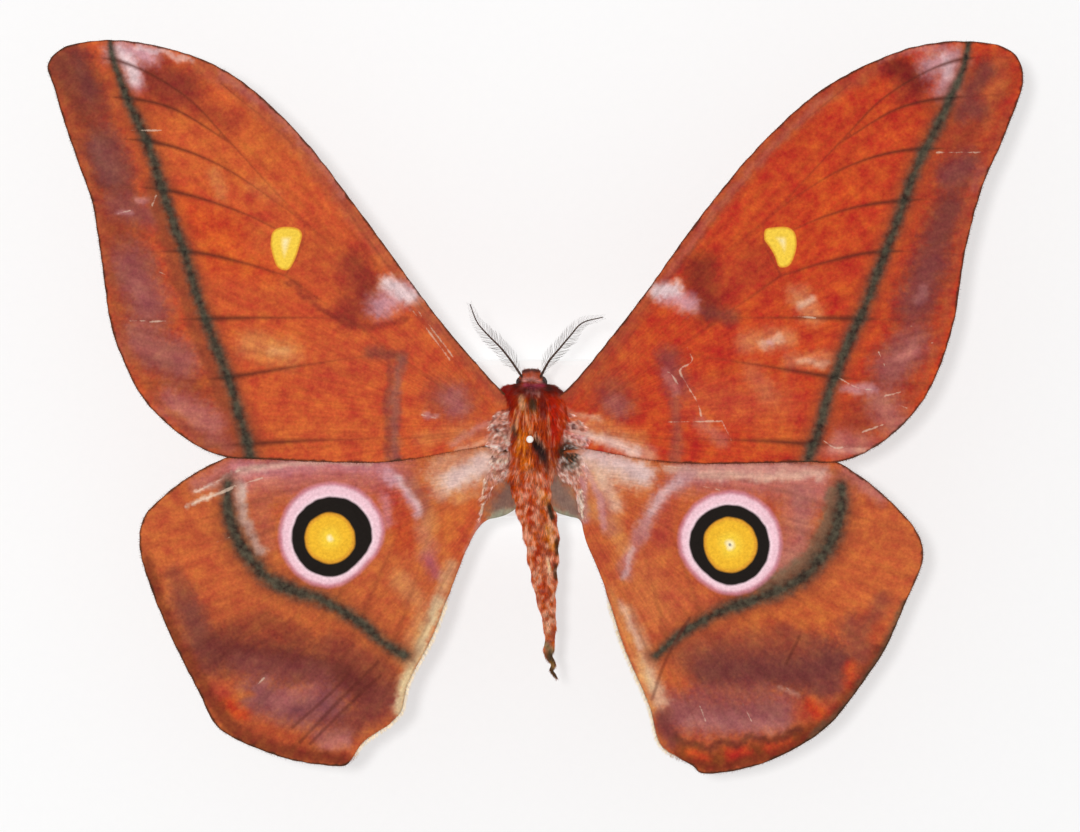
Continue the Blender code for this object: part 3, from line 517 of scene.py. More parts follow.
            ("#B87068", 0.85, 8, [(640, 534), (626, 560), (624, 574)]),
            (ROSE_WHITE, 0.5, 3, [(622, 578), (634, 548)]),
            (CREAM_PINK, 0.85, 16, [(584, 464), (640, 476)]),
            (CREAM_PINK, 0.75, 10, [(600, 480), (614, 504)]),
            ("#CE8450", 0.7, 9, [(588, 480), (594, 516)]),
            (AMBER, 0.6, 10, [(616, 522), (622, 546)]),
            ("#B5522E", 0.6, 8, [(592, 536), (610, 574)]),
            ("#B06A58", 0.6, 8, [(604, 500), (612, 530)]),
            (ROSE, 0.75, 5, [(582, 480), (584, 520)]),
            (PLUM, 0.5, 10, [(882, 600), (870, 624)]),
            (PLUM, 0.6, 14, [(850, 626), (864, 654)]),
            ("#8A4230", 0.6, 8, [(782, 628), (826, 648)]),
            ("#8A4632", 0.75, 22, [(690, 656), (760, 650), (820, 656)]),
            ("#6E3530", 0.95, 22, [(710, 672), (760, 672), (806, 674), (836, 664)]),
            (PLUM, 0.8, 13, [(820, 690), (848, 684)]),
            ("#8E4E4C", 0.95, 22, [(676, 712), (730, 716), (780, 712)]),
            ("#B0706C", 0.5, 10, [(690, 724), (780, 726)]),
            ("#8A4A48", 0.4, 12, [(700, 694), (760, 690)]),
            (CREAM_PINK, 0.35, 3, [(778, 688), (798, 694)]),
            (PLUM, 0.8, 9, [(664, 718), (672, 742)]),
            ("#A8442A", 0.95, 14, [(806, 714), (836, 712)]),
            ("#C4401C", 0.85, 7, [(810, 706), (826, 720)]),
            ("#BE4822", 0.9, 8, [(851, 668), (850, 686)]),
            ("#B04828", 0.7, 6, [(880, 624), (872, 636)]),
            ("#7E3A18", 0.97, 11, [(684, 754), (706, 760), (740, 757), (786, 745), (812, 732)]),
            ("#C44420", 0.9, 7, [(692, 754), (704, 757)]),
            ("#C44420", 0.9, 8, [(730, 754), (744, 753)]),
            ("#C44420", 0.9, 7, [(770, 746), (788, 742)]),
            ("#5A2A1E", 0.6, 4, [(674, 738), (690, 744), (710, 748), (722, 741), (736, 746), (752, 736),
                                 (768, 742), (797, 732)]),
            ("#7A3018", 0.8, 7, [(684, 762), (720, 769), (770, 758), (826, 724), (862, 680), (886, 642)]),
            # Painted shadow: dark olive along the lower right edge, on the side away from the light
            ("#5A4634", 0.7, 6, [(812, 740), (856, 698), (884, 650), (904, 604)]),
            ("#D6A888", 0.85, 10, [(644, 664), (660, 700)]),
            (CREAM, 0.5, 5, [(640, 656), (652, 690)]),
            ("#C88A66", 0.8, 8, [(628, 612), (650, 662)]),
            (CREAM_PINK, 0.6, 4, [(622, 604), (640, 648)]),
            (AMBER, 0.6, 6, [(612, 594), (634, 656), (652, 712)]),
            (ROSE_WHITE, 0.75, 10, [(588, 452), (620, 462), (646, 474)]),
            (ROSE, 0.6, 4, [(586, 470), (600, 500), (604, 530)]),
            # The web of membrane beside the abdomen: its own mauve grey, darkened with painted shade under
            # the hair fringe, and a pale grey-green edge
            ("#86695C", 1.0, 15, [(552, 484), (562, 498), (572, 510)]),
            ("#94A088", 0.8, 5, [(548, 508), (560, 515), (576, 519)]),
        ],
        "band": [
            (841, 486), (842, 498), (841, 510), (836, 530), (826, 550), (810, 571), (790, 586),
            (762, 597), (738, 605), (716, 614), (690, 628), (672, 642), (656, 656),
        ],
        "band_width": (8.5, 12, 6.5),
        "rings": {
            "pink": ((730.0, 543.2), 51.6, 135, 0.08),
            "black": ((729.3, 545.2), 40.8, 135, 0.09),
            "yolk": ((729.8, 545.0), 27.8, 160, 0.08),
        },
        "scratches": [[(787, 688), (798, 698)], [(700, 706), (706, 722)], [(742, 702), (752, 722)],
                      [(700, 486), (720, 490)], [(664, 466), (700, 470)]],
        "folds": [[(652, 700), (668, 656), (690, 618)], [(800, 636), (786, 664)]],
        "turn_about": (731, 430),
        "root": (556, 470),
    },
}


def plan(pixels):
    """Points of the picture as points on the floor plan, in metres."""
    return (np.asarray(pixels, float) - PICTURE_PIN) * (PIXEL, -PIXEL)


def to_pixels(points):
    """Points of the frame as points of the picture."""
    return points[:, :2] * (1 / PIXEL, -1 / PIXEL) + PICTURE_PIN


def ease(low, high, values):
    """A smooth ramp from 0 at low to 1 at high."""
    share = np.clip((values - low) / (high - low), 0, 1)
    return share * share * (3 - 2 * share)


def smooth_line(points, spacing):
    """A centripetal Catmull-Rom line through the points, divided into even steps of about this length."""
    points = np.asarray(points, float)
    points = np.vstack([2 * points[0] - points[1], points, 2 * points[-1] - points[-2]])
    fine = []
    for a, b, c, d in zip(points, points[1:], points[2:], points[3:]):
        k = np.cumsum([0] + [math.sqrt(np.linalg.norm(q - p)) for p, q in ((a, b), (b, c), (c, d))])
        t = np.linspace(k[1], k[2], 16, endpoint=False)[:, None]
        ab = a + (b - a) * (t - k[0]) / (k[1] - k[0])
        bc = b + (c - b) * (t - k[1]) / (k[2] - k[1])
        cd = c + (d - c) * (t - k[2]) / (k[3] - k[2])
        abc = ab + (bc - ab) * (t - k[0]) / (k[2] - k[0])
        bcd = bc + (cd - bc) * (t - k[1]) / (k[3] - k[1])
        fine.append(abc + (bcd - abc) * (t - k[1]) / (k[2] - k[1]))
    fine = np.vstack([*fine, points[-2]])
    run = np.cumsum([0, *np.linalg.norm(np.diff(fine, axis=0), axis=1)])
    at = np.linspace(0, run[-1], max(2, round(run[-1] / spacing)) + 1)
    return np.column_stack([np.interp(at, run, column) for column in fine.T])


def nearest(points, line):
    """How far each point is from a line, on which side, at what share of its length and its way there."""
    line = np.asarray(line, float)
    if len(line) == 1:
        line = np.vstack([line, line + 1e-9])
    runs = np.diff(line, axis=0)
    lengths = np.linalg.norm(runs, axis=1)
    starts = np.cumsum([0, *lengths]) / lengths.sum()
    gap = np.full(len(points), np.inf)
    side = np.zeros(len(points))
    share = np.zeros(len(points))
    way = np.zeros((len(points), 2))
    for start, run, length, before in zip(line, runs, lengths, starts):
        off = points - start
        t = np.clip(off @ run / (length * length), 0, 1)
        far = np.hypot(*(off - t[:, None] * run).T)
        closer = far < gap
        gap[closer] = far[closer]
        side[closer] = np.sign(run[0] * off[closer, 1] - run[1] * off[closer, 0])
        share[closer] = before + t[closer] * length / lengths.sum()
        way[closer] = run / length
    return gap, side, share, way


def to_nearest(points, lines):
    """How far each point is from the nearest of these lines."""
    return np.min([nearest(points, line)[0] for line in lines], axis=0)


def inside(points, outline):
    """Whether each point lies within a closed outline."""
    found = np.zeros(len(points), bool)
    x, y = points.T
    for (ax, ay), (bx, by) in zip(outline, np.roll(outline, -1, axis=0)):
        crosses = (ay > y) != (by > y)
        if crosses.any():
            found ^= crosses & (x < ax + (bx - ax) * (y - ay) / (by - ay if by != ay else 1))
    return found


def noise_at(points, size, lift=0.0):
    """Smooth noise vectors at plan or picture points, of about this grain."""
    return np.array([noise.noise_vector(Vector((x / size, y / size, lift))) for x, y in points])


def srgb(tone):
    """An sRGB hex colour as three shares of one."""
    return np.array([int(tone[i:i + 2], 16) / 255 for i in (1, 3, 5)])


def painted(pixels, ground, strokes, loose=1.0):
    """sRGB colours at picture points: a ground with soft, uneven strokes laid over it in order."""
    colours = np.tile(srgb(ground), (len(pixels), 1))
    wander = loose * (noise_at(pixels, 13) * 3.4 + noise_at(pixels, 5, 3.0) * 2.2)
    fleck = 0.3 * noise_at(pixels, 3.2, 7.0)[:, 2]
    for tone, strength, half_width, line in strokes:
        gap = nearest(pixels + wander[:, :2], line)[0]
        weight = strength * (1 - ease(0.15, 1.5, gap / half_width + fleck))
        colours += (srgb(tone) - colours) * weight[:, None]
    return colours


def set_field(mesh, name, values):
    """Stores a number, vector or colour for each point of a mesh."""
    values = np.asarray(values, np.float32)
    kinds = {1: ("FLOAT", "value"), 3: ("FLOAT_VECTOR", "vector"), 4: ("FLOAT_COLOR", "color")}
    kind, key = kinds[1 if values.ndim == 1 else values.shape[1]]
    field = mesh.attributes.get(name) or mesh.attributes.new(name, kind, "POINT")
    field.data.foreach_set(key, values.ravel())


def set_colour(mesh, name, colours):
    """Stores sRGB colours for the points of a mesh as linear ones."""
    colours = np.clip(colours, 0, 1)
    made = np.where(colours <= 0.04045, colours / 12.92, ((colours + 0.055) / 1.055) ** 2.4)
    set_field(mesh, name, np.column_stack([made, np.ones(len(made))]))


def shown(name, data):
    """An object of this data at the origin of the scene."""
    made = bpy.data.objects.new(name, data)
    bpy.context.scene.collection.objects.link(made)
    return made


def add_piece(name, points, faces, unwrap):
    """A smooth mesh object at the origin, with the unwrap of its corners as its bake map."""
    mesh = bpy.data.meshes.new(name)
    mesh.from_pydata(np.asarray(points).tolist(), [], [list(f) for f in faces])
    mesh.uv_layers.new(name="OFBake").data.foreach_set("uv", np.asarray(unwrap, np.float32).ravel())
    mesh.shade_smooth()
    return shown(name, mesh)


def right_veins(veins, mirror, own):
    """A left wing's veins mirrored to the right, with the right wing's own lines where it has any."""
    turned = {}
    for name, pixels in veins.items():
        turned[name] = own.get(name) or [(mirror[0] + mirror[1] * x + mirror[2] * y, y) for x, y in pixels]
    return turned


def wing_height(points, drop):
    """Height of a wing's middle surface over plan points, as in the frame."""
    reach = np.maximum(0, np.abs(points[:, 0]) - WING_ROOT_X)
    return FOREWING_Z + WING_RISE * reach - WING_DROOP * reach**2 - drop


def filled(outline, lines, spacing):
    """The outline filled with small even triangles whose edges follow these lines."""
    low, high = outline.min(axis=0), outline.max(axis=0)
    rows = np.arange(low[1], high[1], spacing * 0.87)
    grid = np.array([(x + (i % 2) * spacing / 2, y) for i, y in enumerate(rows)
                     for x in np.arange(low[0], high[0], spacing)])
    grid = grid[inside(grid, outline)]
    border = np.vstack([outline, outline[:1]])
    for line, clear in [(border[::2], 0.55)] + [(line, 0.45) for line in lines]:
        grid = grid[nearest(grid, line)[0] > clear * spacing]
    points = [outline]
    edges = [(i, (i + 1) % len(outline)) for i in range(len(outline))]
    count = len(outline)
    for line in lines:
        edges += [(count + i, count + i + 1) for i in range(len(line) - 1)]
        points.append(line)
        count += len(line)
    points = np.vstack([*points, grid]) / MM
    placed, _, faces, *_ = delaunay_2d_cdt([Vector(p) for p in points], edges, [], 1, 0.01)
    placed = np.array([(p.x, p.y) for p in placed]) * MM
    faces = np.array([f for f in faces if len(f) == 3])
    a, b, c = (placed[faces[:, i]] for i in range(3))
    area = (b[:, 0] - a[:, 0]) * (c[:, 1] - a[:, 1]) - (b[:, 1] - a[:, 1]) * (c[:, 0] - a[:, 0])
    faces[area < 0] = faces[area < 0][:, ::-1]
    return placed, faces


def ring_field(pixels, ring):
    """Distance outside a ring's edge, in pixels: a circle that is a little flatter towards one side."""
    centre, radius, flat_side, flatness = ring
    out = pixels - centre
    turn = (np.degrees(np.arctan2(out[:, 1], out[:, 0])) - flat_side + 180) % 360 - 180
    return np.hypot(*out.T) - radius * (1 - flatness * np.exp(-(turn / 34) ** 2))


def inner_margin(pixels, start):
    """How far a picture point is on a hindwing's inner margin, beside the abdomen and past this height."""
    x, y = pixels.T
    beside = 1 - ease(-8, 8, np.abs(x - BODY_X) - 55 - (y - 480) * 0.62)
    return ease(start, start + 14, y) * beside * (1 - ease(752, 764, y))


def hinge(pixels):
    """How far a picture point is on a forewing's hind edge near the body, where hair lies over it."""
    return ease(425, 435, pixels[:, 1]) * (1 - ease(60, 140, np.abs(pixels[:, 0] - BODY_X)))


def wing_piece(name, wing, veins, drop):
    """One wing: a fine closed sheet with raised veins, and the fields that its scales are coloured by."""
    outline = smooth_line(plan(wing["outline"]), MESH_STEP)
    outline += noise_at(outline, 1.1 * MM)[:, :2] * 0.07 * MM
    ridges = [smooth_line(plan(line), MESH_STEP) for line in veins.values()]
    scored = [smooth_line(plan(line), MESH_STEP) for line in wing["scratches"] + wing.get("folds", [])]
    points, faces = filled(outline, ridges + scored, MESH_STEP)
    pixels = to_pixels(points)
    border = np.vstack([outline, outline[:1]])
    edge = nearest(points, border[::2])[0]
    vein = to_nearest(points, [line[::2] for line in ridges])
    root = plan(wing["root"])
    reach = np.hypot(*(points - root).T)
    ridge_width = 0.24 * MM - 0.12 * MM * np.clip(reach / (55 * MM), 0, 1)

    height = wing_height(points, drop) - PLEAT * ease(0, 2.4 * MM, vein)
    height += 0.16 * MM * noise_at(points, 9 * MM)[:, 2] + 0.05 * MM * noise_at(points, 2.5 * MM)[:, 2]
    for line in wing.get("folds", []):
        height -= 0.12 * MM * np.exp(-(nearest(points, smooth_line(plan(line), MM))[0] / (0.3 * MM)) ** 2)
    half = MEMBRANE / 2 + VEIN_RIDGE * np.exp(-(vein / ridge_width) ** 2) * ease(0, 0.6 * MM, edge)
    top = np.column_stack([points, height + half])
    bottom = np.column_stack([points, height - half])
    count = len(points)
    rims = np.vstack([faces[:, (0, 1)], faces[:, (1, 2)], faces[:, (2, 0)]])
    known = {(a, b) for a, b in rims.tolist()}
    walls = [(b, a, a + count, b + count) for a, b in rims.tolist() if (b, a) not in known]

    # The upper side and the underside, turned half round beside it, share one square of the bake map
    under = 2 * np.array(wing["turn_about"]) - pixels
    both = np.vstack([pixels, under])
    low = both.min(axis=0) - UNWRAP_MARGIN
    size = (both.max(axis=0) - low).max() + UNWRAP_MARGIN
    flat = (both - low) / size
    corners = [flat[faces.ravel()], flat[faces[:, ::-1].ravel() + count]]
    corners += [flat[[b, a, a, b]] for b, a, _, _ in walls]
    made = add_piece(name + "_scales", np.vstack([top, bottom]),
                     [*faces.tolist(), *(faces[:, ::-1] + count).tolist(), *walls], np.vstack(corners))
    mesh = made.data

    band = smooth_line(wing["band"], 4)
    gap, side, share, _ = nearest(pixels, band)
    outward = 1 if name.endswith("left") else -1
    width = np.interp(share, (0, 0.2, 1), wing["band_width"])
    fields = {
        "band": gap / width,
        "beside": gap * side * outward / width,
        "vein": vein / (ridge_width * 0.8),
        "edge": edge / MM + (inner_margin(pixels, 480) if name.startswith("hind") else hinge(pixels)),
        "scratch": to_nearest(points, scored[:len(wing["scratches"])]) / MM,
        "fold": np.ones(count),
        "reach": reach / MM,
        "turn": np.arctan2(points[:, 1] - root[1], np.abs(points[:, 0] - root[0])),
    }
    if "folds" in wing:
        fields["fold"] = to_nearest(points, scored[len(wing["scratches"]):]) / MM
    for ring, shape in wing.get("rings", {}).items():
        ragged = noise_at(pixels, 8, 1.0)[:, 0] * 0.8
        fields[ring] = (ring_field(pixels, shape) + ragged) * PIXEL / MM
    for spot in wing.get("spots", []):
        shape = smooth_line([*spot, spot[0]], 1.5)
        fields["spot"] = nearest(pixels, shape)[0] * np.where(inside(pixels, shape), -1, 1) * PIXEL / MM
    for field, values in fields.items():
        set_field(mesh, field, np.concatenate([values, values]))
    set_field(mesh, "under", np.repeat((0.0, 1.0), count))
    ground = painted(pixels, wing["ground"], wing["strokes"])
    set_colour(mesh, "ground", np.vstack([ground, ground]))
    return made


def ramp(tree, value, low, high, start=0.0, end=1.0, kind="LINEAR"):
    """Runs from start to end as the value runs from low to high."""
    return node(tree, "ShaderNodeMapRange", {"interpolation_type": kind}, {
        "Value": value, "From Min": low, "From Max": high, "To Min": start, "To Max": end}).outputs[0]


def lay(tree, below, tone, field, solid, clear, strength=1.0):
    """Lays a tone over the colour below: all of its strength under solid, and none of it past clear."""
    return blend(tree, ramp(tree, field, solid, clear, strength, 0.0, "SMOOTHSTEP"), below, tone)


def scales_finish(name, markings):
    """Wing scales: overlapping flat chitin platelets about 0.1 mm long. They give a dull powdery colour with
    a faint silky sheen. They are too fine to show, so their rows are drawn about three times as coarse."""
    made, tree, shader, place = new_finish(name, 0.75, 0.1, 0.03)
    shader.inputs["Sheen Roughness"].default_value = 0.5
    wanted = {"ground", "band", "beside", "vein", "edge", "scratch", "fold", "reach", "turn", "under"}
    wanted |= {marking[0] for marking in markings}
    read = {n: node(tree, "ShaderNodeAttribute", {"attribute_name": n}) for n in sorted(wanted)}
    field = {n: found.outputs["Color" if n == "ground" else "Fac"] for n, found in read.items()}
    ray = node(tree, "ShaderNodeCombineXYZ", {}, {0: calc(tree, "MULTIPLY", field["reach"], 0.16),
                                                  1: calc(tree, "MULTIPLY", field["turn"], 46.0)}).outputs[0]
    streaks = grain(tree, ray, 1.0, 4.0)
    clouds = grain(tree, place, 520.0, 5.0, 0.7)
    rows = grain(tree, place, 3000.0)

    # Worn and crowded scales make the ground lighter and darker, in streaks along the wing and small clouds
    light = ramp(tree, streaks, 0.3, 0.7, 0.86, 1.12)
    light = calc(tree, "MULTIPLY", light, ramp(tree, clouds, 0.3, 0.7, 0.8, 1.18))
    hue = ramp(tree, clouds, 0.3, 0.7, 0.488, 0.51)
    colour = node(tree, "ShaderNodeHueSaturation", {}, {"Hue": hue, "Value": light, "Color": field["ground"]})
    colour = colour.outputs[0]

    # The dark line across the wing is dusted: ragged, with the veins darker near it
    ragged = ramp(tree, clouds, 0.2, 0.8, -0.35, 0.35)
    wide = calc(tree, "ADD", field["band"], ragged)
    inward = calc(tree, "MULTIPLY", field["beside"], -0.34)
    outward = calc(tree, "MULTIPLY", field["beside"], 1.8)
    near_band = calc(tree, "ADD", field["vein"], calc(tree, "MAXIMUM", inward, outward))
    hind = name.startswith("hind")
    colour = lay(tree, colour, BARK, wide, 0.8, 2.6, 0.55)
    colour = lay(tree, colour, UMBER, field["vein"], 0.0, 2.4, 0.08 if hind else 0.16)
    colour = lay(tree, colour, "#5A2418", near_band, 0.0, 6.0, 0.25 if hind else 0.85)
    dust = ramp(tree, grain(tree, place, 1400.0, 3.0), 0.3, 0.7)
    colour = lay(tree, colour, blend(tree, dust, "#1E1C18", "#4E4D3E"), wide, 0.1, 1.4, 0.96)
    for marking, tone, solid, clear, strength in markings:
        colour = lay(tree, colour, tone, field[marking], solid, clear, strength)

    # Folds get painted shade, scratches are rubbed pale in broken lines, and the margin is brown
    colour = lay(tree, colour, "#5A241A", field["fold"], 0.04, 0.35, 0.5)
    broken = calc(tree, "ADD", field["scratch"], ramp(tree, clouds, 0.38, 0.6, 0.2, -0.03))
    colour = lay(tree, colour, SCRATCH, broken, 0.0, 0.17, 0.5)
    rim = calc(tree, "ADD", field["edge"], calc(tree, "MULTIPLY", ragged, 0.8))
    colour = lay(tree, colour, "#352818", rim, 0.04, 0.34, 0.8)
    speck = ramp(tree, rows, 0.25, 0.75, 0.86, 1.14)
    colour = node(tree, "ShaderNodeHueSaturation", {}, {"Value": speck, "Color": colour}).outputs[0]

    # The underside has the same marks through paler, pinker scales
    colour = blend(tree, calc(tree, "MULTIPLY", field["under"], 0.5), colour, "#B98A78")
    dress(tree, shader, colour, calc(tree, "ADD", rows, streaks), 0.06 * MM, 0.7)
    return made


WING_VEINS = {
    "forewing": (FOREWING_VEINS, FOREWING_MIRROR, FOREWING_VEINS_RIGHT),
    "hindwing": (HINDWING_VEINS, HINDWING_MIRROR, {}),
}
scales = {
    "forewing": scales_finish("forewing_scale_layer", [
        ("spot", "#DFA030", -0.06, 0.1, 1.0),
        ("spot", "#F1CA44", -0.3, -0.06, 0.95),
        ("spot", PALE_YOLK, -2.0, -1.0, 0.8),
    ]),
    "hindwing": scales_finish("hindwing_scale_layer", [
        ("pink", "#C98494", -0.2, 0.4, 0.8),
        ("pink", PINK_RING, -0.6, -0.05, 0.95),
        ("black", "#F4DCE2", 0.05, 0.6, 0.45),
        ("black", INK, -0.2, 0.14, 1.0),
        ("yolk", "#D9962A", -0.2, 0.12, 1.0),
        ("yolk", YOLK, -0.7, -0.1, 0.95),
        ("yolk", BRIGHT_YOLK, -2.8, -1.2, 0.75),
        ("yolk", PALE_YOLK, -3.2, -2.5, 0.85),
        ("yolk", "#8A7F76", -3.3, -3.08, 0.9),
    ]),
}
for name, wing in WINGS.items():
    pair, side = name.split("_")
    veins, mirror, own = WING_VEINS[pair]
    if side == "right":
        veins = right_veins(veins, mirror, own)
    piece = wing_piece(name, wing, veins, WING_DROP[pair])
    piece.data.materials.append(scales[pair])
    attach(piece, "root")
    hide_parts(name)

# Body
# Head, thorax, abdomen and the dried tuft at its end, as one skin of jointed plates under the coat. It is
# soft when set and dries hard. The skin lies inside the frame's solids by the depth of the coat.
SEGMENTS = 8
SEGMENT_FROM, SEGMENT_TO = 468, 650
BODY_PLAN = [
    (531.5, 371.5, 3), (531.5, 373, 7), (531.5, 376, 9.5), (531.4, 380, 10.8), (531, 383.5, 11.6),
    (530.6, 385.5, 16), (530.2, 387.5, 24), (530.6, 390.5, 28.5), (533, 396, 30), (535.5, 403, 29.5),
    (537, 415, 29.5), (537, 430, 28), (536, 445, 25), (534, 458, 22), (532, 468, 20),
    (530.5, 482, 19.4), (532.5, 500, 19.2), (538, 520, 18.2), (541.5, 540, 16.6), (543, 560, 14.6),
    (544.5, 580, 12.2), (546, 600, 9.3), (549, 620, 6.6), (550, 640, 5), (549, 650, 4.4),
    (549, 656, 3.2), (552, 662, 2.4), (553.5, 666, 2.4), (551.5, 671, 1.7), (554, 675, 1.4),
    (557, 679, 0.5),
]
BODY_HEIGHTS = ((371, 23.1), (384, 23.3), (396, 23.8), (406, 24.0), (458, 24.0), (474, 23.8))
BODY_TALL = ((371, 1.25), (382, 1.2), (388, 0.9), (396, 0.98), (410, 1.04), (470, 1.04), (520, 1.0))
BODY_STEP = 0.22 * MM


def face_outward(mesh):
    """Turns all faces of a closed mesh outward."""
    shape = bmesh.new()
    shape.from_mesh(mesh)
    bmesh.ops.recalc_face_normals(shape, faces=shape.faces)
    shape.to_mesh(mesh)
    shape.free()


def tube(name, path, wide, tall=1.0, around=16, facing=None):
    """A closed tube along a path, with each ring's half-width and how many times as tall it is. Its rings
    stand square to the path, or all face the same way."""
    path = np.asarray(path, float)
    tall = np.broadcast_to(tall, len(path))
    way = np.gradient(path, axis=0) if facing is None else np.tile(facing, (len(path), 1))
    way /= np.linalg.norm(way, axis=1)[:, None]
    up = np.array((0.0, 0.0, 1.0)) if abs(way[0][2]) < 0.9 else np.array((0.0, 1.0, 0.0))
    points = []
    angles = np.linspace(-math.pi / 2, 1.5 * math.pi, around, endpoint=False)
    for centre, forward, half, rise in zip(path, way, wide, tall):
        side = np.cross(forward, up)
        side /= np.linalg.norm(side)
        up = np.cross(side, forward)
        ring = np.outer(np.cos(angles), side) * half + np.outer(np.sin(angles), up) * half * rise
        points.append(centre + ring)
    points = np.vstack([*points, path[0], path[-1]])
    run = np.cumsum([0, *np.linalg.norm(np.diff(path, axis=0), axis=1)])
    run /= run[-1]
    faces, unwrap = [], []
    for ring in range(len(path) - 1):
        low, high = 0.02 + 0.96 * run[ring], 0.02 + 0.96 * run[ring + 1]
        for i in range(around):
            a, b = ring * around + i, ring * around + (i + 1) % around
            faces.append((a, a + around, b + around, b))
            left, right = 0.02 + 0.96 * i / around, 0.02 + 0.96 * (i + 1) / around
            unwrap += [(left, low), (left, high), (right, high), (right, low)]
    last = (len(path) - 1) * around
    for i in range(around):
        left, right = 0.02 + 0.96 * i / around, 0.02 + 0.96 * (i + 1) / around
        faces.append((i, (i + 1) % around, len(points) - 2))
        unwrap += [(left, 0.02), (right, 0.02), (0.5, 0.005)]
        faces.append((last + (i + 1) % around, last + i, len(points) - 1))
        unwrap += [(right, 0.98), (left, 0.98), (0.5, 0.995)]
    made = add_piece(name, points, faces, unwrap)
    face_outward(made.data)
    return made


def vectors(items, key):
    """One vector of each of these items of a mesh."""
    found = np.empty(len(items) * 3, np.float32)
    items.foreach_get(key, found)
    return found.reshape(-1, 3).astype(float)


def mesh_points(mesh):
    """The places of a mesh's points."""
    return vectors(mesh.vertices, "co")


def mesh_normals(mesh):
    """The way that each of a mesh's points faces."""
    return vectors(mesh.vertex_normals, "vector")


body_plan = np.array(BODY_PLAN, float)
body_line = smooth_line(np.column_stack([plan(body_plan[:, :2]), body_plan[:, 2] * PIXEL]), BODY_STEP)
body_y = PICTURE_PIN[1] - body_line[:, 1] / PIXEL
body_share = np.clip((body_y - SEGMENT_FROM) / (SEGMENT_TO - SEGMENT_FROM), 0, 1)
body_z = np.interp(body_y, *zip(*BODY_HEIGHTS)) * MM - 1.6 * MM * body_share**1.5
ringed = np.cos(2 * math.pi * SEGMENTS * body_share) * (body_share > 0) * (body_share < 1)
body_half = body_line[:, 2] + 0.09 * MM * ringed * (1 - 0.6 * body_share)
skin = tube("moth_skin", np.column_stack([body_line[:, :2], body_z]), np.maximum(body_half, 0.05 * MM),
            np.interp(body_y, *zip(*BODY_TALL)), 56, (0.0, -1.0, 0.0))

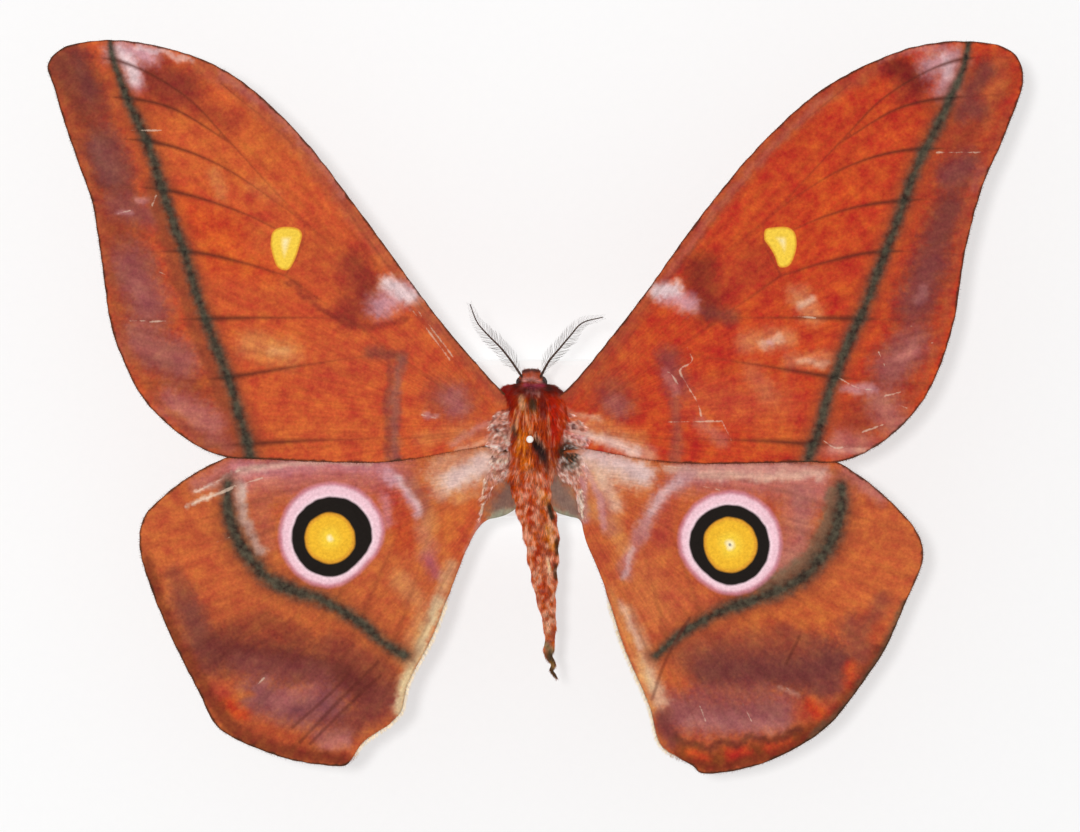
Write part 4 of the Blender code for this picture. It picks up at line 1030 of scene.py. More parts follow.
BODY_STROKES = [
    ("#6E2620", 0.95, 9, [(500, 390), (520, 388), (534, 391), (548, 389), (564, 392)]),
    ("#86160E", 1.0, 11, [(502, 393), (505, 402), (507, 411)]),
    ("#BE4A20", 0.8, 7, [(506, 412), (509, 428)]),
    ("#AE2618", 0.95, 7.5, [(552, 402), (555, 416), (553, 436)]),
    ("#B83C22", 0.85, 6.5, [(566, 400), (568, 418)]),
    ("#C2401E", 0.85, 5, [(564, 432), (566, 444)]),
    ("#C6521F", 0.85, 8, [(534, 416), (538, 432)]),
    ("#CC6A1C", 0.95, 8, [(524, 436), (524, 456), (527, 474)]),
    ("#D07A26", 0.7, 3, [(519, 434), (519, 456)]),
    ("#9A4A2C", 0.8, 7, [(552, 456), (553, 472)]),
    ("#D0A070", 0.9, 4.5, [(521, 399), (523, 407)]),
    ("#46301E", 0.95, 4.5, [(532, 402), (533, 409)]),
    ("#7A2A24", 0.85, 4.5, [(542, 400), (543, 416)]),
    ("#D8A878", 0.85, 1.8, [(516, 411), (517, 429)]),
    ("#DCA67C", 0.85, 1.8, [(525, 414), (528, 424), (531, 436)]),
    ("#D89A70", 0.8, 1.7, [(549, 417), (548, 434)]),
    ("#DDB090", 0.85, 2.2, [(535, 435), (539, 441), (544, 448)]),
    ("#E0B890", 0.8, 1.8, [(566, 422), (571, 434), (573, 444)]),
    ("#D49060", 0.7, 1.5, [(521, 414), (523, 432)]),
    ("#3C2A1C", 0.9, 3, [(513, 428), (515, 435)]),
    # Dark marks below and right of the pin: the hair parted round its hole, deepened with the painted shadow
    # of the pin
    ("#160C10", 0.98, 5.5, [(537, 446), (541, 452), (543, 459)]),
    ("#24140F", 0.9, 3, [(534, 441), (537, 446)]),
    ("#2E1A16", 0.75, 2.4, [(546, 462), (547, 472)]),
    ("#1E261E", 1.0, 6, [(564, 451), (569, 455), (568, 461)]),
    ("#C8CCC4", 0.9, 1.3, [(561, 459), (567, 463)]),
    ("#AEBAB4", 0.8, 1.2, [(566, 450), (572, 453)]),
    ("#4A1414", 0.95, 3.2, [(573, 425), (574, 428)]),
    ("#C99484", 0.85, 8, [(501, 422), (504, 440), (504, 462)]),
    ("#E2C0AE", 0.85, 1.9, [(498, 424), (506, 430), (509, 442)]),
    ("#E6CCBC", 0.85, 1.9, [(497, 440), (505, 446), (508, 458)]),
    ("#4A2018", 0.9, 1.8, [(494, 428), (498, 433)]),
    ("#5A2A20", 0.85, 1.7, [(502, 448), (506, 453)]),
    ("#C26A48", 1.0, 26, [(534, 488), (542, 560), (550, 650)]),
    ("#BC4A2C", 0.75, 5, [(524, 476), (527, 490), (531, 506)]),
    ("#B03A24", 0.7, 4, [(529, 512), (532, 524)]),
    ("#B84428", 0.7, 5, [(545, 478), (546, 490)]),
    ("#D2924C", 0.75, 4.5, [(541, 494), (547, 502)]),
    ("#D2904E", 0.75, 5, [(549, 526), (552, 546)]),
    ("#A83420", 0.7, 3.5, [(538, 548), (537, 560)]),
    ("#B03C26", 0.7, 4, [(542, 586), (545, 598)]),
    ("#3A281A", 0.95, 3, [(549, 506), (552, 518)]),
    ("#46301C", 0.9, 2.6, [(557, 540), (558, 554)]),
    ("#4A301E", 0.85, 2.6, [(555, 566), (556, 578)]),
    ("#EACFA4", 0.95, 1.8, [(547, 559), (550, 574)]),
    ("#8A4424", 0.75, 2.2, [(545, 616), (553, 618)]),
    ("#D8A884", 0.7, 3.4, [(547, 624), (549, 634)]),
    ("#8A7A58", 0.85, 4.5, [(546, 646), (552, 652)]),
    ("#4A3824", 0.95, 5, [(549, 656), (552, 662), (552, 671), (557, 679)]),
    ("#9A7448", 0.9, 2.2, [(551, 664), (554, 668)]),
    ("#AC5640", 0.95, 10, [(526, 376), (538, 376)]),
    ("#4A221C", 0.95, 2.2, [(522, 371), (531, 369.5), (542, 371)]),
    ("#421C18", 0.9, 3.2, [(516, 385), (519, 381)]),
    ("#3E1814", 0.92, 4.4, [(545, 383), (550, 389)]),
    ("#4A1E1A", 0.7, 3, [(556, 388), (563, 392)]),
    ("#D29A90", 0.9, 2.4, [(524, 380), (532, 379), (541, 381)]),
    ("#963A4C", 0.9, 3, [(526, 385), (534, 387), (543, 385)]),
    ("#A06A66", 0.7, 2.6, [(528, 393), (540, 394)]),
]
UNDER_BODY = "#9C6A54"


def body_colours(pixels, facing_up):
    """The coat's colours, seen from above. They pass into the plainer colour of the underside."""
    above = painted(pixels, "#A84024", BODY_STROKES, 0.28)
    y = pixels[:, 1]
    streaks = noise_at(pixels * (1, 0.22), 2.6, 11.0)[:, 0]
    flecks = noise_at(pixels * (1, 0.8), 4.6, 4.0)[:, 1]
    on_thorax = y < 470
    mixed = np.where(on_thorax, streaks, flecks)
    fade = ease(386, 394, y) * (1 - ease(640, 652, y))
    red_side = ease(12, 18, np.abs(pixels[:, 0] - 534)) * (1 - ease(408, 424, y))
    pale = 0.5 * ease(0.14, 0.4, mixed) * (1 - 0.9 * red_side)
    pale = np.where(on_thorax, pale, 0.65 * ease(0.0, 0.3, mixed))
    fade *= ease(0.14, 0.3, above.mean(axis=1))
    above += (srgb("#E2B096") - above) * (pale * fade)[:, None]
    dark = np.where(on_thorax, 0.6, 0.35) * ease(0.12, 0.4, -mixed)
    above += (srgb("#701C14") - above) * (dark * fade)[:, None]
    share = ease(-0.5, 0.15, facing_up)[:, None]
    return srgb(UNDER_BODY) + (above - srgb(UNDER_BODY)) * share


skin_points = mesh_points(skin.data)
skin_normals = mesh_normals(skin.data)
skin_pixels = to_pixels(skin_points)
set_colour(skin.data, "tint", body_colours(skin_pixels, skin_normals[:, 2]))

# Chitin with short flat hair on it: dull, with fine lines that run back along the body
hide, tree, shader, place = new_finish("haired_cuticle", 0.8, 0.12, 0.03)
stretched = node(tree, "ShaderNodeMapping", {}, {"Vector": place, "Scale": (7000, 1300, 7000)}).outputs[0]
hairs = grain(tree, stretched, 1.0, 3.0)
tint = node(tree, "ShaderNodeAttribute", {"attribute_name": "tint"}).outputs["Color"]
shade = ramp(tree, hairs, 0.3, 0.7, 0.45, 1.0)
tone = node(tree, "ShaderNodeHueSaturation", {}, {"Value": shade, "Color": tint})
dress(tree, shader, tone.outputs[0], hairs, 0.08 * MM, 0.8)
skin.data.materials.append(hide)
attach(skin, "root")
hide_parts("head", "thorax", "abdomen", "tail_tuft")

# Eyes
# Two large compound eyes on the sides of the head: domes of clear lenses, dark brown and wet-looking.
HEAD_AT = Vector((0.2, 6.9, 23.3)) * MM
EYE_RADIUS = 0.85 * MM
EYE_AT = {side: HEAD_AT + Vector((x, 0.1, -0.1)) * MM for side, x in (("left", -1.1), ("right", 1.1))}
LENS = 0.072 * MM


def new_tree(name, inputs):
    """An empty geometry tree with these named inputs, its input node and the identifiers of its sockets."""
    made = bpy.data.node_groups.new(name, "GeometryNodeTree")
    made.interface.new_socket("Geometry", in_out="OUTPUT", socket_type="NodeSocketGeometry")
    made.interface.new_socket("Geometry", in_out="INPUT", socket_type="NodeSocketGeometry")
    identifiers = {}
    for label, kind in inputs.items():
        identifiers[label] = made.interface.new_socket(label, in_out="INPUT", socket_type=kind).identifier
    return made, made.nodes.new("NodeGroupInput").outputs, identifiers


def settled(name, bed, tree, identifiers, values):
    """The plain mesh that the tree makes on the bed, as an object of its own."""
    grower = bed.modifiers.new(name, "NODES")
    grower.node_group = tree
    for label, value in values.items():
        grower[identifiers[label]] = value
    graph = bpy.context.evaluated_depsgraph_get()
    mesh = bpy.data.meshes.new_from_object(bed.evaluated_get(graph))
    mesh.name = name
    bed.modifiers.remove(grower)
    finish = next(m for m in mesh.materials if m)
    mesh.materials.clear()
    mesh.materials.append(finish)
    mesh.polygons.foreach_set("material_index", np.zeros(len(mesh.polygons), np.int32))
    return shown(name, mesh)


def end_tree(tree, geometry, finish):
    """Ends a geometry tree with smooth faces, and this finish on all of them."""
    smooth = node(tree, "GeometryNodeSetShadeSmooth", {}, {"Geometry": geometry}).outputs[0]
    coated = node(tree, "GeometryNodeSetMaterial", {}, {"Geometry": smooth, "Material": finish}).outputs[0]
    node(tree, "NodeGroupOutput", {}, {0: coated})


# Clear cuticle over dark pigment, as smooth as glass, with a brown depth
lens_finish, tree, shader, place = new_finish("lens_cuticle", 0.12, 0.6)
dress(tree, shader, blend(tree, grain(tree, place, 900.0), "#120B09", "#3A2018"))
shader.inputs["Coat Weight"].default_value = 0.6

eye_tree, given, eye_sockets = new_tree("eye_lenses", {
    "Radius": "NodeSocketFloat", "Lens": "NodeSocketFloat", "Finish": "NodeSocketMaterial"})
dome, core, lens = [
    node(eye_tree, "GeometryNodeMeshIcoSphere", {}, {"Radius": given[size], "Subdivisions": times})
    for size, times in (("Radius", 4), ("Radius", 3), ("Lens", 1))]
lenses = node(eye_tree, "GeometryNodeInstanceOnPoints", {},
              {"Points": dome.outputs[0], "Instance": lens.outputs[0]})
solid = node(eye_tree, "GeometryNodeRealizeInstances", {}, {0: lenses.outputs[0]})
whole = node(eye_tree, "GeometryNodeJoinGeometry")
eye_tree.links.new(core.outputs[0], whole.inputs[0])
eye_tree.links.new(solid.outputs[0], whole.inputs[0])
end_tree(eye_tree, whole.outputs[0], given["Finish"])

for side, at in EYE_AT.items():
    eye_bed = shown("eye_bed", bpy.data.meshes.new("eye_bed"))
    eye = settled(f"compound_eye_{side}", eye_bed, eye_tree, eye_sockets,
                  {"Radius": EYE_RADIUS - 0.5 * LENS, "Lens": LENS * 0.62, "Finish": lens_finish})
    eye.data.transform(Matrix.Translation(at))
    bpy.data.objects.remove(eye_bed)
    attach(eye, "root")
    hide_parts("eye_" + side)

# Antennae
# A stiff jointed stalk on each side of the head's crown, with a fine barb out of each side of every joint, as
# on a feather. They are dark brown and have dried matt and brittle.
ANTENNAE = {
    "left": [(524, 380), (512, 362), (501, 348), (488, 335), (477, 322), (470, 304)],
    "right": [(539, 380), (549, 361), (559, 349), (570, 336), (582, 323), (603, 317)],
}
STALK_Z = 24.4 * MM
STALK_RISE = 1.6 * MM
STALK_FOOT = 0.165 * MM
STALK_TIP = 0.06 * MM
BARB_LENGTH = 1.5 * MM
BARB_RADIUS = 0.02 * MM
BARB_TIP = 0.008 * MM
BARB_STEP = 0.25 * MM

# Dry chitin with a bloom of fine hair: dark brown, dull, and a little paler in clouds
stalk_finish, tree, shader, place = new_finish("dry_brown_chitin", 0.6, 0.3, 0.05)
bloom = grain(tree, place, 2600.0, 3.0)
dress(tree, shader, blend(tree, bloom, "#22140E", "#56382A"), bloom, 0.03 * MM)

feeler, given, feeler_sockets = new_tree("antenna", {
    "Step": "NodeSocketFloat", "Foot radius": "NodeSocketFloat", "Tip radius": "NodeSocketFloat",
    "Barb length": "NodeSocketFloat", "Barb radius": "NodeSocketFloat", "Seed": "NodeSocketInt",
    "Finish": "NodeSocketMaterial"})


def vector(tree, operation, *values):
    """Vector arithmetic of one kind. Where it scales, the second value is the factor."""
    inputs = {0: values[0], "Scale": values[1]} if operation == "SCALE" else dict(enumerate(values))
    return node(tree, "ShaderNodeVectorMath", {"operation": operation}, inputs).outputs[0]


def aimed(tree, axis, aim, pivot="AUTO", start=None):
    """A turn that points an axis along a direction."""
    return node(tree, "FunctionNodeAlignRotationToVector", {"axis": axis, "pivot_axis": pivot},
                {"Vector": aim, **({"Rotation": start} if start else {})}).outputs[0]


def swept(line, sides, thick):
    """A capped tube along a line."""
    ring = node(feeler, "GeometryNodeCurvePrimitiveCircle", {}, {"Resolution": sides, "Radius": 1.0})
    made = node(feeler, "GeometryNodeCurveToMesh", {}, {
        "Curve": line, "Profile Curve": ring.outputs[0], "Scale": thick, "Fill Caps": True})
    return made.outputs[0]


line = node(feeler, "GeometryNodeMeshToCurve", {}, {0: given["Geometry"]}).outputs[0]
line = node(feeler, "GeometryNodeResampleCurve", {"mode": "LENGTH"}, {"Curve": line, "Length": given["Step"]})
line = line.outputs[0]
share = node(feeler, "GeometryNodeSplineParameter").outputs["Factor"]
odd = calc(feeler, "MODULO", node(feeler, "GeometryNodeInputIndex").outputs[0], 2.0)
taper = ramp(feeler, share, 0.0, 1.0, given["Foot radius"], given["Tip radius"])
stalk = swept(line, 10, calc(feeler, "MULTIPLY", taper, calc(feeler, "MULTIPLY_ADD", odd, 0.2, 0.9)))
tangent = node(feeler, "GeometryNodeInputTangent").outputs[0]
across = vector(feeler, "CROSS_PRODUCT", tangent, (0, 0, 1))
rising = ramp(feeler, share, 0.05, 0.2, 0.2, 1.0)
size = calc(feeler, "MULTIPLY", rising, ramp(feeler, share, 0.5, 1.0, 1.0, 0.3))
arc = node(feeler, "GeometryNodeCurveQuadraticBezier", {},
           {"Resolution": 5, "Start": (0, 0, 0), "Middle": (0.06, 0, 0.6), "End": (0.34, 0, 1)}).outputs[0]
arc_size = node(feeler, "ShaderNodeCombineXYZ", {}, {n: given["Barb length"] for n in range(3)}).outputs[0]
arc = node(feeler, "GeometryNodeTransform", {}, {"Geometry": arc, "Scale": arc_size}).outputs[0]
along_barb = node(feeler, "GeometryNodeSplineParameter").outputs["Factor"]
barb = swept(arc, 4, ramp(feeler, along_barb, 0.0, 1.0, given["Barb radius"], BARB_TIP))
whole = node(feeler, "GeometryNodeJoinGeometry")
feeler.links.new(stalk, whole.inputs[0])
for side in (-1, 1):
    for droop, seed_step in ((-0.1, 0), (-0.6, 1)):
        sideways = vector(feeler, "SCALE", across, side * 0.85)
        onward = vector(feeler, "MULTIPLY_ADD", tangent, (0.5, 0.5, 0.5), sideways)
        seed = calc(feeler, "ADD", given["Seed"], side + 5.0 * seed_step)
        loose = node(feeler, "FunctionNodeRandomValue", {"data_type": "FLOAT_VECTOR"}, {
            0: (-0.12, -0.12, droop - 0.1), 1: (0.12, 0.12, droop + 0.1), "Seed": seed}).outputs[0]
        turn = aimed(feeler, "Z", vector(feeler, "ADD", onward, loose))
        turn = aimed(feeler, "X", tangent, "Z", turn)
        row = node(feeler, "GeometryNodeInstanceOnPoints", {},
                   {"Points": line, "Instance": barb, "Rotation": turn, "Scale": size}).outputs[0]
        feeler.links.new(row, whole.inputs[0])
solid = node(feeler, "GeometryNodeRealizeInstances", {}, {0: whole.outputs[0]})
end_tree(feeler, solid.outputs[0], given["Finish"])


def line_bed(name, points):
    """A mesh of one open line."""
    mesh = bpy.data.meshes.new(name)
    mesh.from_pydata(np.asarray(points).tolist(), [(i, i + 1) for i in range(len(points) - 1)], [])
    return shown(name, mesh)


for side, pixels in ANTENNAE.items():
    way = smooth_line(plan(pixels), 0.4 * MM)
    rise = STALK_Z + STALK_RISE * np.linspace(0, 1, len(way)) ** 0.8
    rise -= 0.5 * MM * np.exp(-np.arange(len(way)) / 1.5)
    bed = line_bed("antenna_line", np.column_stack([way, rise]))
    antenna = settled(f"feathered_antenna_{side}", bed, feeler, feeler_sockets, {
        "Step": BARB_STEP, "Foot radius": STALK_FOOT, "Tip radius": STALK_TIP, "Barb length": BARB_LENGTH,
        "Barb radius": BARB_RADIUS, "Seed": 3 if side == "left" else 4, "Finish": stalk_finish})
    bpy.data.objects.remove(bed)
    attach(antenna, "root")
    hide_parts("antenna_" + side)

# Palps
# Two short hairy feelers that curve forward under the face. The tongue between them is only a stump in this
# family, and doesn't show.
PALP_RADIUS = 0.3 * MM
PALP_PATH = ((0.45, 0.1, -0.8), (0.5, 0.6, -1.05), (0.5, 1.1, -1.1), (0.42, 1.4, -0.7))


def joined(name, parts):
    """One mesh object of several, which are then gone. Their unwraps stand side by side in one square."""
    shape = bmesh.new()
    for i, part in enumerate(parts):
        flat = part.data.uv_layers[0].data
        found = np.empty(len(flat) * 2, np.float32)
        flat.foreach_get("uv", found)
        found[::2] = (i + found[::2]) / len(parts)
        flat.foreach_set("uv", found)
        shape.from_mesh(part.data)
    mesh = bpy.data.meshes.new(name)
    shape.to_mesh(mesh)
    shape.free()
    mesh.shade_smooth()
    for part in parts:
        bpy.data.objects.remove(part)
    return shown(name, mesh)


palps = []
for side in (-1, 1):
    path = [(side * x, y, z) for x, y, z in PALP_PATH]
    path = smooth_line(np.array(path) * MM + np.array(HEAD_AT), 0.08 * MM)
    share = np.linspace(0, 1, len(path))
    swell = PALP_RADIUS * (1 - 0.45 * share + 0.12 * np.abs(np.sin(share * 3 * math.pi)))
    swell[-1] *= 0.3
    palps.append(tube("palp", path, swell, 1.0, 14))
palps = joined("palps", palps)
palp_points = mesh_points(palps.data)
set_colour(palps.data, "tint", np.tile(srgb("#8A4034"), (len(palp_points), 1)))
palps.data.materials.append(hide)
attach(palps, "root")

# Legs
# Six thin legs, folded under the body as it was pinned. Each has a stout thigh, a shin with two spurs (one
# on a foreleg) and a foot of five small joints, and ends in a pair of hooked claws.
LEG_MIDLINE = 0.7 * MM
LEGS = {
    "fore": [(1.6, 3.6, 21.2), (3.0, 5.2, 18.0), (2.2, 2.6, 16.6), (1.4, -0.8, 16.5)],
    "mid": [(2.0, 1.2, 20.9), (4.8, 1.9, 18.0), (3.6, -2.6, 16.8), (2.7, -6.2, 17.0)],
    "hind": [(1.9, -1.8, 21.2), (4.4, -3.6, 18.3), (2.5, -8.0, 17.4), (1.2, -11.4, 17.6)],
}
LEG_RADII = (
    (0, 0.5), (0.25, 0.46), (0.6, 0.36), (0.94, 0.24), (1.05, 0.27), (1.5, 0.25), (1.9, 0.2), (2.0, 0.18),
    (2.06, 0.15), (3.0, 0.11),
)
CLAW_RADIUS = 0.055 * MM
LEG_TONE = "#6B3226"

legs, claws, leg_lie, leg_at = {}, [], [], []
for side in (-1, 1):
    for row, joints in LEGS.items():
        joints = np.array([(LEG_MIDLINE + side * x * MM, y * MM, z * MM) for x, y, z in joints])
        path, at = [joints[0] + (joints[0] - joints[1]) * 0.25], [0.0]
        for i, (a, b) in enumerate(zip(joints, joints[1:])):
            for t in (0.07, 0.35, 0.65, 0.93):
                path.append(a + (b - a) * t)
                at.append(i + t)
        path.append(joints[-1])
        at.append(3.0)
        fine = smooth_line(path, 0.09 * MM)
        run = np.cumsum([0, *np.linalg.norm(np.diff(path, axis=0), axis=1)])
        fine_at = np.interp(np.linspace(0, run[-1], len(fine)), run, at)
        radii = np.interp(fine_at, *zip(*LEG_RADII)) * MM
        radii *= 1 + 0.16 * np.cos(2 * math.pi * 5 * (fine_at - 2)) * (fine_at > 2)
        leg = [tube("leg", fine, radii, 1.0, 14)]
        shin = joints[2] - joints[1]
        shin /= np.linalg.norm(shin)
        for spread in (-1, 1) if row != "fore" else (1,):
            foot = joints[2] - shin * 0.25 * MM
            aim = shin + np.array((spread * 0.45, 0, -0.35))
            tip = foot + aim * 0.7 * MM + shin * 0.1 * MM
            spur = smooth_line([foot, foot + aim * 0.35 * MM, tip], 0.1 * MM)
            leg.append(tube("spur", spur, np.linspace(0.08, 0.015, len(spur)) * MM, 1.0, 6))
        name = f"{row}_{'left' if side < 0 else 'right'}"
        legs[name] = joined("leg_skin_" + name, leg)
        near = [np.argmin(((fine - p) ** 2).sum(axis=1)) for p in mesh_points(legs[name].data)]
        leg_lie.append(np.gradient(fine, axis=0)[near])
        leg_at.append(fine_at[near])
        foot = joints[3] - joints[2]
        foot /= np.linalg.norm(foot)
        for spread in (-1, 1):
            hook = [(0, 0, 0), (spread * 0.1, 0, 0.0), (spread * 0.17, 0, -0.05), (spread * 0.16, 0, -0.2)]
            hook = np.array([joints[3] + foot * reach * MM + np.array(off) * MM
                             for off, reach in zip(hook, (-0.05, 0.12, 0.28, 0.36))])
            hook = smooth_line(hook, 0.05 * MM)
            claws.append(tube("claw", hook, CLAW_RADIUS * np.linspace(1, 0.15, len(hook)), 1.0, 8))

for name, leg in legs.items():
    set_colour(leg.data, "tint", np.tile(srgb(LEG_TONE), (len(leg.data.vertices), 1)))
    leg.data.materials.append(hide)
    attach(leg, "root")
    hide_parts("leg_" + name)

# Claws
# Hooks of hard bare chitin, smooth and almost black, in a pair at the end of each foot.
claws = joined("claws", claws)
claw_finish, tree, shader, place = new_finish("polished_claw_chitin", 0.22, 0.5)
dress(tree, shader, blend(tree, grain(tree, place, 3500.0), "#140C08", "#4A2C1C"))
claws.data.materials.append(claw_finish)
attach(claws, "root")

# Coat
# Hair-like scales, each flat and tapered, that grow out of the skin in overlapping locks. They lie back along
# the body, longest on the thorax and the wing roots, and shortest on the face and the feet.
PATCH = 0.003
RINGS = (0.0, 0.4, 0.8)


def blade(name, aspect, bend, sway):
    """One hair: a thin three-sided spike along X, one unit long, which bends down and tapers to its tip."""
    points, along = [], []
    for t in RINGS:
        half = aspect / 2 * (0.75 + 0.5 * t if t < 0.5 else 0.55)
        for y, z in ((-1, 0), (1, 0), (0, 0.6)):
            points.append((t, y * half + sway * t * t, z * half - bend * t * t))
            along.append(t)
    points.append((1, sway, -bend))
    along.append(1.0)
    faces = [(0, 1, 2)]
    for ring in (0, 3):
        faces += [(ring + a, ring + 3 + a, ring + 3 + b, ring + b) for a, b in ((0, 1), (1, 2), (2, 0))]
    faces += [(6 + a, 9, 6 + b) for a, b in ((0, 1), (1, 2), (2, 0))]
    mesh = bpy.data.meshes.new(name)
    mesh.from_pydata(points, [], faces)
    face_outward(mesh)
    flat = [(along[loop.vertex_index], 0.2 + 0.3 * (loop.vertex_index % 3)) for loop in mesh.loops]
    mesh.uv_layers.new(name="blade_map").data.foreach_set("uv", np.array(flat, np.float32).ravel())
    set_field(mesh, "along", along)
    return bpy.data.objects.new(name, mesh)


def blade_set(name, aspect, bend):
    """Three hairs that differ in their bend, for the coat to pick from."""
    made = bpy.data.collections.new(name)
    for i, (more, sway) in enumerate(((0.6, -0.1), (1.0, 0.03), (1.5, 0.12))):
        made.objects.link(blade(f"{name}_{i}", aspect, bend * more, sway))
    return made


BLADES = {"long": blade_set("long_hair", 0.05, 0.14), "short": blade_set("short_hair", 0.075, 0.12)}

coat_tree, given, coat_sockets = new_tree("coat", {
    "Density": "NodeSocketFloat", "Blades": "NodeSocketCollection", "Lock size": "NodeSocketFloat",
    "Lock spread": "NodeSocketFloat", "Jitter": "NodeSocketFloat", "Patch": "NodeSocketFloat",
    "Seed": "NodeSocketInt", "Finish": "NodeSocketMaterial"})


def stored(name, kind="FLOAT"):
    """A field that the bed carries."""
    read = node(coat_tree, "GeometryNodeInputNamedAttribute", {"data_type": kind}, {"Name": name})
    return read.outputs["Attribute"]


def drawn(low, high, step, kind="FLOAT"):
    """A random number or vector for each hair."""
    seed = calc(coat_tree, "ADD", given["Seed"], float(step))
    first = 0 if kind == "FLOAT_VECTOR" else 2
    made = node(coat_tree, "FunctionNodeRandomValue", {"data_type": kind},
                {first: low, first + 1: high, "Seed": seed})
    return made.outputs[first // 2]


crowd = calc(coat_tree, "MULTIPLY", stored("coat"), given["Density"])
roots = node(coat_tree, "GeometryNodeDistributePointsOnFaces", {"distribute_method": "RANDOM"},
             {"Mesh": given["Geometry"], "Density": crowd, "Seed": given["Seed"]})
normal = roots.outputs["Normal"]
locks = node(coat_tree, "ShaderNodeTexNoise", {}, {
    "Vector": node(coat_tree, "GeometryNodeInputPosition").outputs[0],
    "Scale": calc(coat_tree, "DIVIDE", 1.0, given["Lock size"]), "Detail": 2.0}).outputs["Color"]
locks = vector(coat_tree, "SUBTRACT", locks, (0.5, 0.5, 0.5))
locks = vector(coat_tree, "SCALE", locks, given["Lock spread"])
loose = vector(coat_tree, "SCALE", drawn((-1, -1, -1), (1, 1, 1), 1, "FLOAT_VECTOR"), given["Jitter"])
lift = vector(coat_tree, "SCALE", normal, stored("rise"))
aim = stored("lie", "FLOAT_VECTOR")
for part in (lift, locks, loose):
    aim = vector(coat_tree, "ADD", aim, part)
turn = aimed(coat_tree, "X", aim)
turn = aimed(coat_tree, "Z", normal, "X", turn)
length = calc(coat_tree, "MULTIPLY", stored("reach"), drawn(0.6, 1.15, 2))
blades = node(coat_tree, "GeometryNodeCollectionInfo", {},
              {"Collection": given["Blades"], "Separate Children": True, "Reset Children": True}).outputs[0]
hairs = node(coat_tree, "GeometryNodeInstanceOnPoints", {}, {
    "Points": roots.outputs["Points"], "Instance": blades, "Pick Instance": True, "Rotation": turn,
    "Scale": length}).outputs[0]
hairs = node(coat_tree, "GeometryNodeStoreNamedAttribute", {"data_type": "FLOAT", "domain": "INSTANCE"},
             {"Geometry": hairs, "Name": "shade", "Value": drawn(0.0, 1.0, 3)}).outputs[0]
hairs = node(coat_tree, "GeometryNodeRealizeInstances", {}, {0: hairs}).outputs[0]
spot = vector(coat_tree, "SUBTRACT", stored("blade_map", "FLOAT_VECTOR"), (0.5, 0.5, 0))
spot = vector(coat_tree, "SCALE", spot, given["Patch"])
spot = vector(coat_tree, "ADD", spot, stored("root_map", "FLOAT_VECTOR"))
hairs = node(coat_tree, "GeometryNodeStoreNamedAttribute", {"data_type": "FLOAT2", "domain": "CORNER"},
             {"Geometry": hairs, "Name": "OFBake", "Value": spot}).outputs[0]
end_tree(coat_tree, hairs, given["Finish"])

# Hair-like scales of chitin: soft and silky, with painted shade down among their roots, each a little unlike
# the next
hair, tree, shader, place = new_finish("hair_scales", 0.6, 0.1, 0.04)
shader.inputs["Sheen Roughness"].default_value = 0.4
read = {n: node(tree, "ShaderNodeAttribute", {"attribute_name": n}) for n in ("tint", "shade", "along")}
value = ramp(tree, read["shade"].outputs["Fac"], 0.0, 1.0, 1.0, 1.9)
value = calc(tree, "MULTIPLY", value, ramp(tree, read["along"].outputs["Fac"], 0.0, 0.5, 0.55, 1.05))
clouds = grain(tree, place, 1400.0)
vivid = ramp(tree, clouds, 0.3, 0.7, 0.95, 1.15)
tone = node(tree, "ShaderNodeHueSaturation", {},
            {"Value": value, "Saturation": vivid, "Color": read["tint"].outputs["Color"]})
dress(tree, shader, tone.outputs[0], clouds, 0.03 * MM, 0.4)

KEPT_FIELDS = ("tint", "shade", "along", "OFBake", "position")


def grow(name, bed, slot, coat, lie, reach, rise, tint, density, blades="long", lock_size=1.3 * MM,
         spread=1.1, jitter=0.16, seed=1):
    """Grows a coat on a bed from the fields of its points, and adds it as a piece. The hairs take their
    colours from the marking that each stretch of them lies over, so the coat has the skin's markings."""
    mesh = bed.data
    fields = {"coat": coat, "lie": lie, "reach": reach, "rise": rise, "facing_up": mesh_normals(mesh)[:, 2]}
    for field, values in fields.items():
        set_field(mesh, field, np.broadcast_to(values, (len(mesh.vertices), *np.shape(values)[1:])))
    made = settled(name, bed, coat_tree, coat_sockets, {
        "Density": density * 1e6, "Blades": BLADES[blades], "Lock size": lock_size, "Lock spread": spread,
        "Jitter": jitter, "Patch": PATCH, "Seed": seed, "Finish": hair})
    hairs = made.data
    facing_up = np.empty(len(hairs.vertices), np.float32)
    hairs.attributes["facing_up"].data.foreach_get("value", facing_up)
    set_colour(hairs, "tint", tint(to_pixels(mesh_points(hairs)), facing_up))
    for field in [a.name for a in hairs.attributes if not a.is_internal and a.name not in KEPT_FIELDS]:
        if not hairs.attributes[field].is_required:
            hairs.attributes.remove(hairs.attributes[field])
    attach(made, "root")
    return made


def bed_of(piece):
    """A copy of a piece to grow hair on, whose unwrap gives each root its place."""
    made = piece.copy()
    made.data = piece.data.copy()
    bpy.context.scene.collection.objects.link(made)
    made.data.uv_layers["OFBake"].name = "root_map"
    for key in list(made.keys()):
        del made[key]
    return made


def along_skin(ways, normals):
    """Directions laid down into the surface, each one long."""
    flat = ways - normals * (ways * normals).sum(axis=1)[:, None]
    return flat / np.maximum(np.linalg.norm(flat, axis=1), 1e-6)[:, None]


def one_tone(tone):
    """A coat of one tone all over."""
    return lambda pixels, facing_up: np.tile(srgb(tone), (len(pixels), 1))


body_bed = bed_of(skin)
X, Y, UP = 0, 1, 2
py = skin_pixels[:, 1]
middle = np.interp(py, *zip(*[(y, x) for x, y, _ in BODY_PLAN]))
half = np.interp(py, *zip(*[(y, h) for _, y, h in BODY_PLAN]))
aside = (skin_pixels[:, 0] - middle) / np.maximum(half, 1)
facing_up = skin_normals[:, UP]


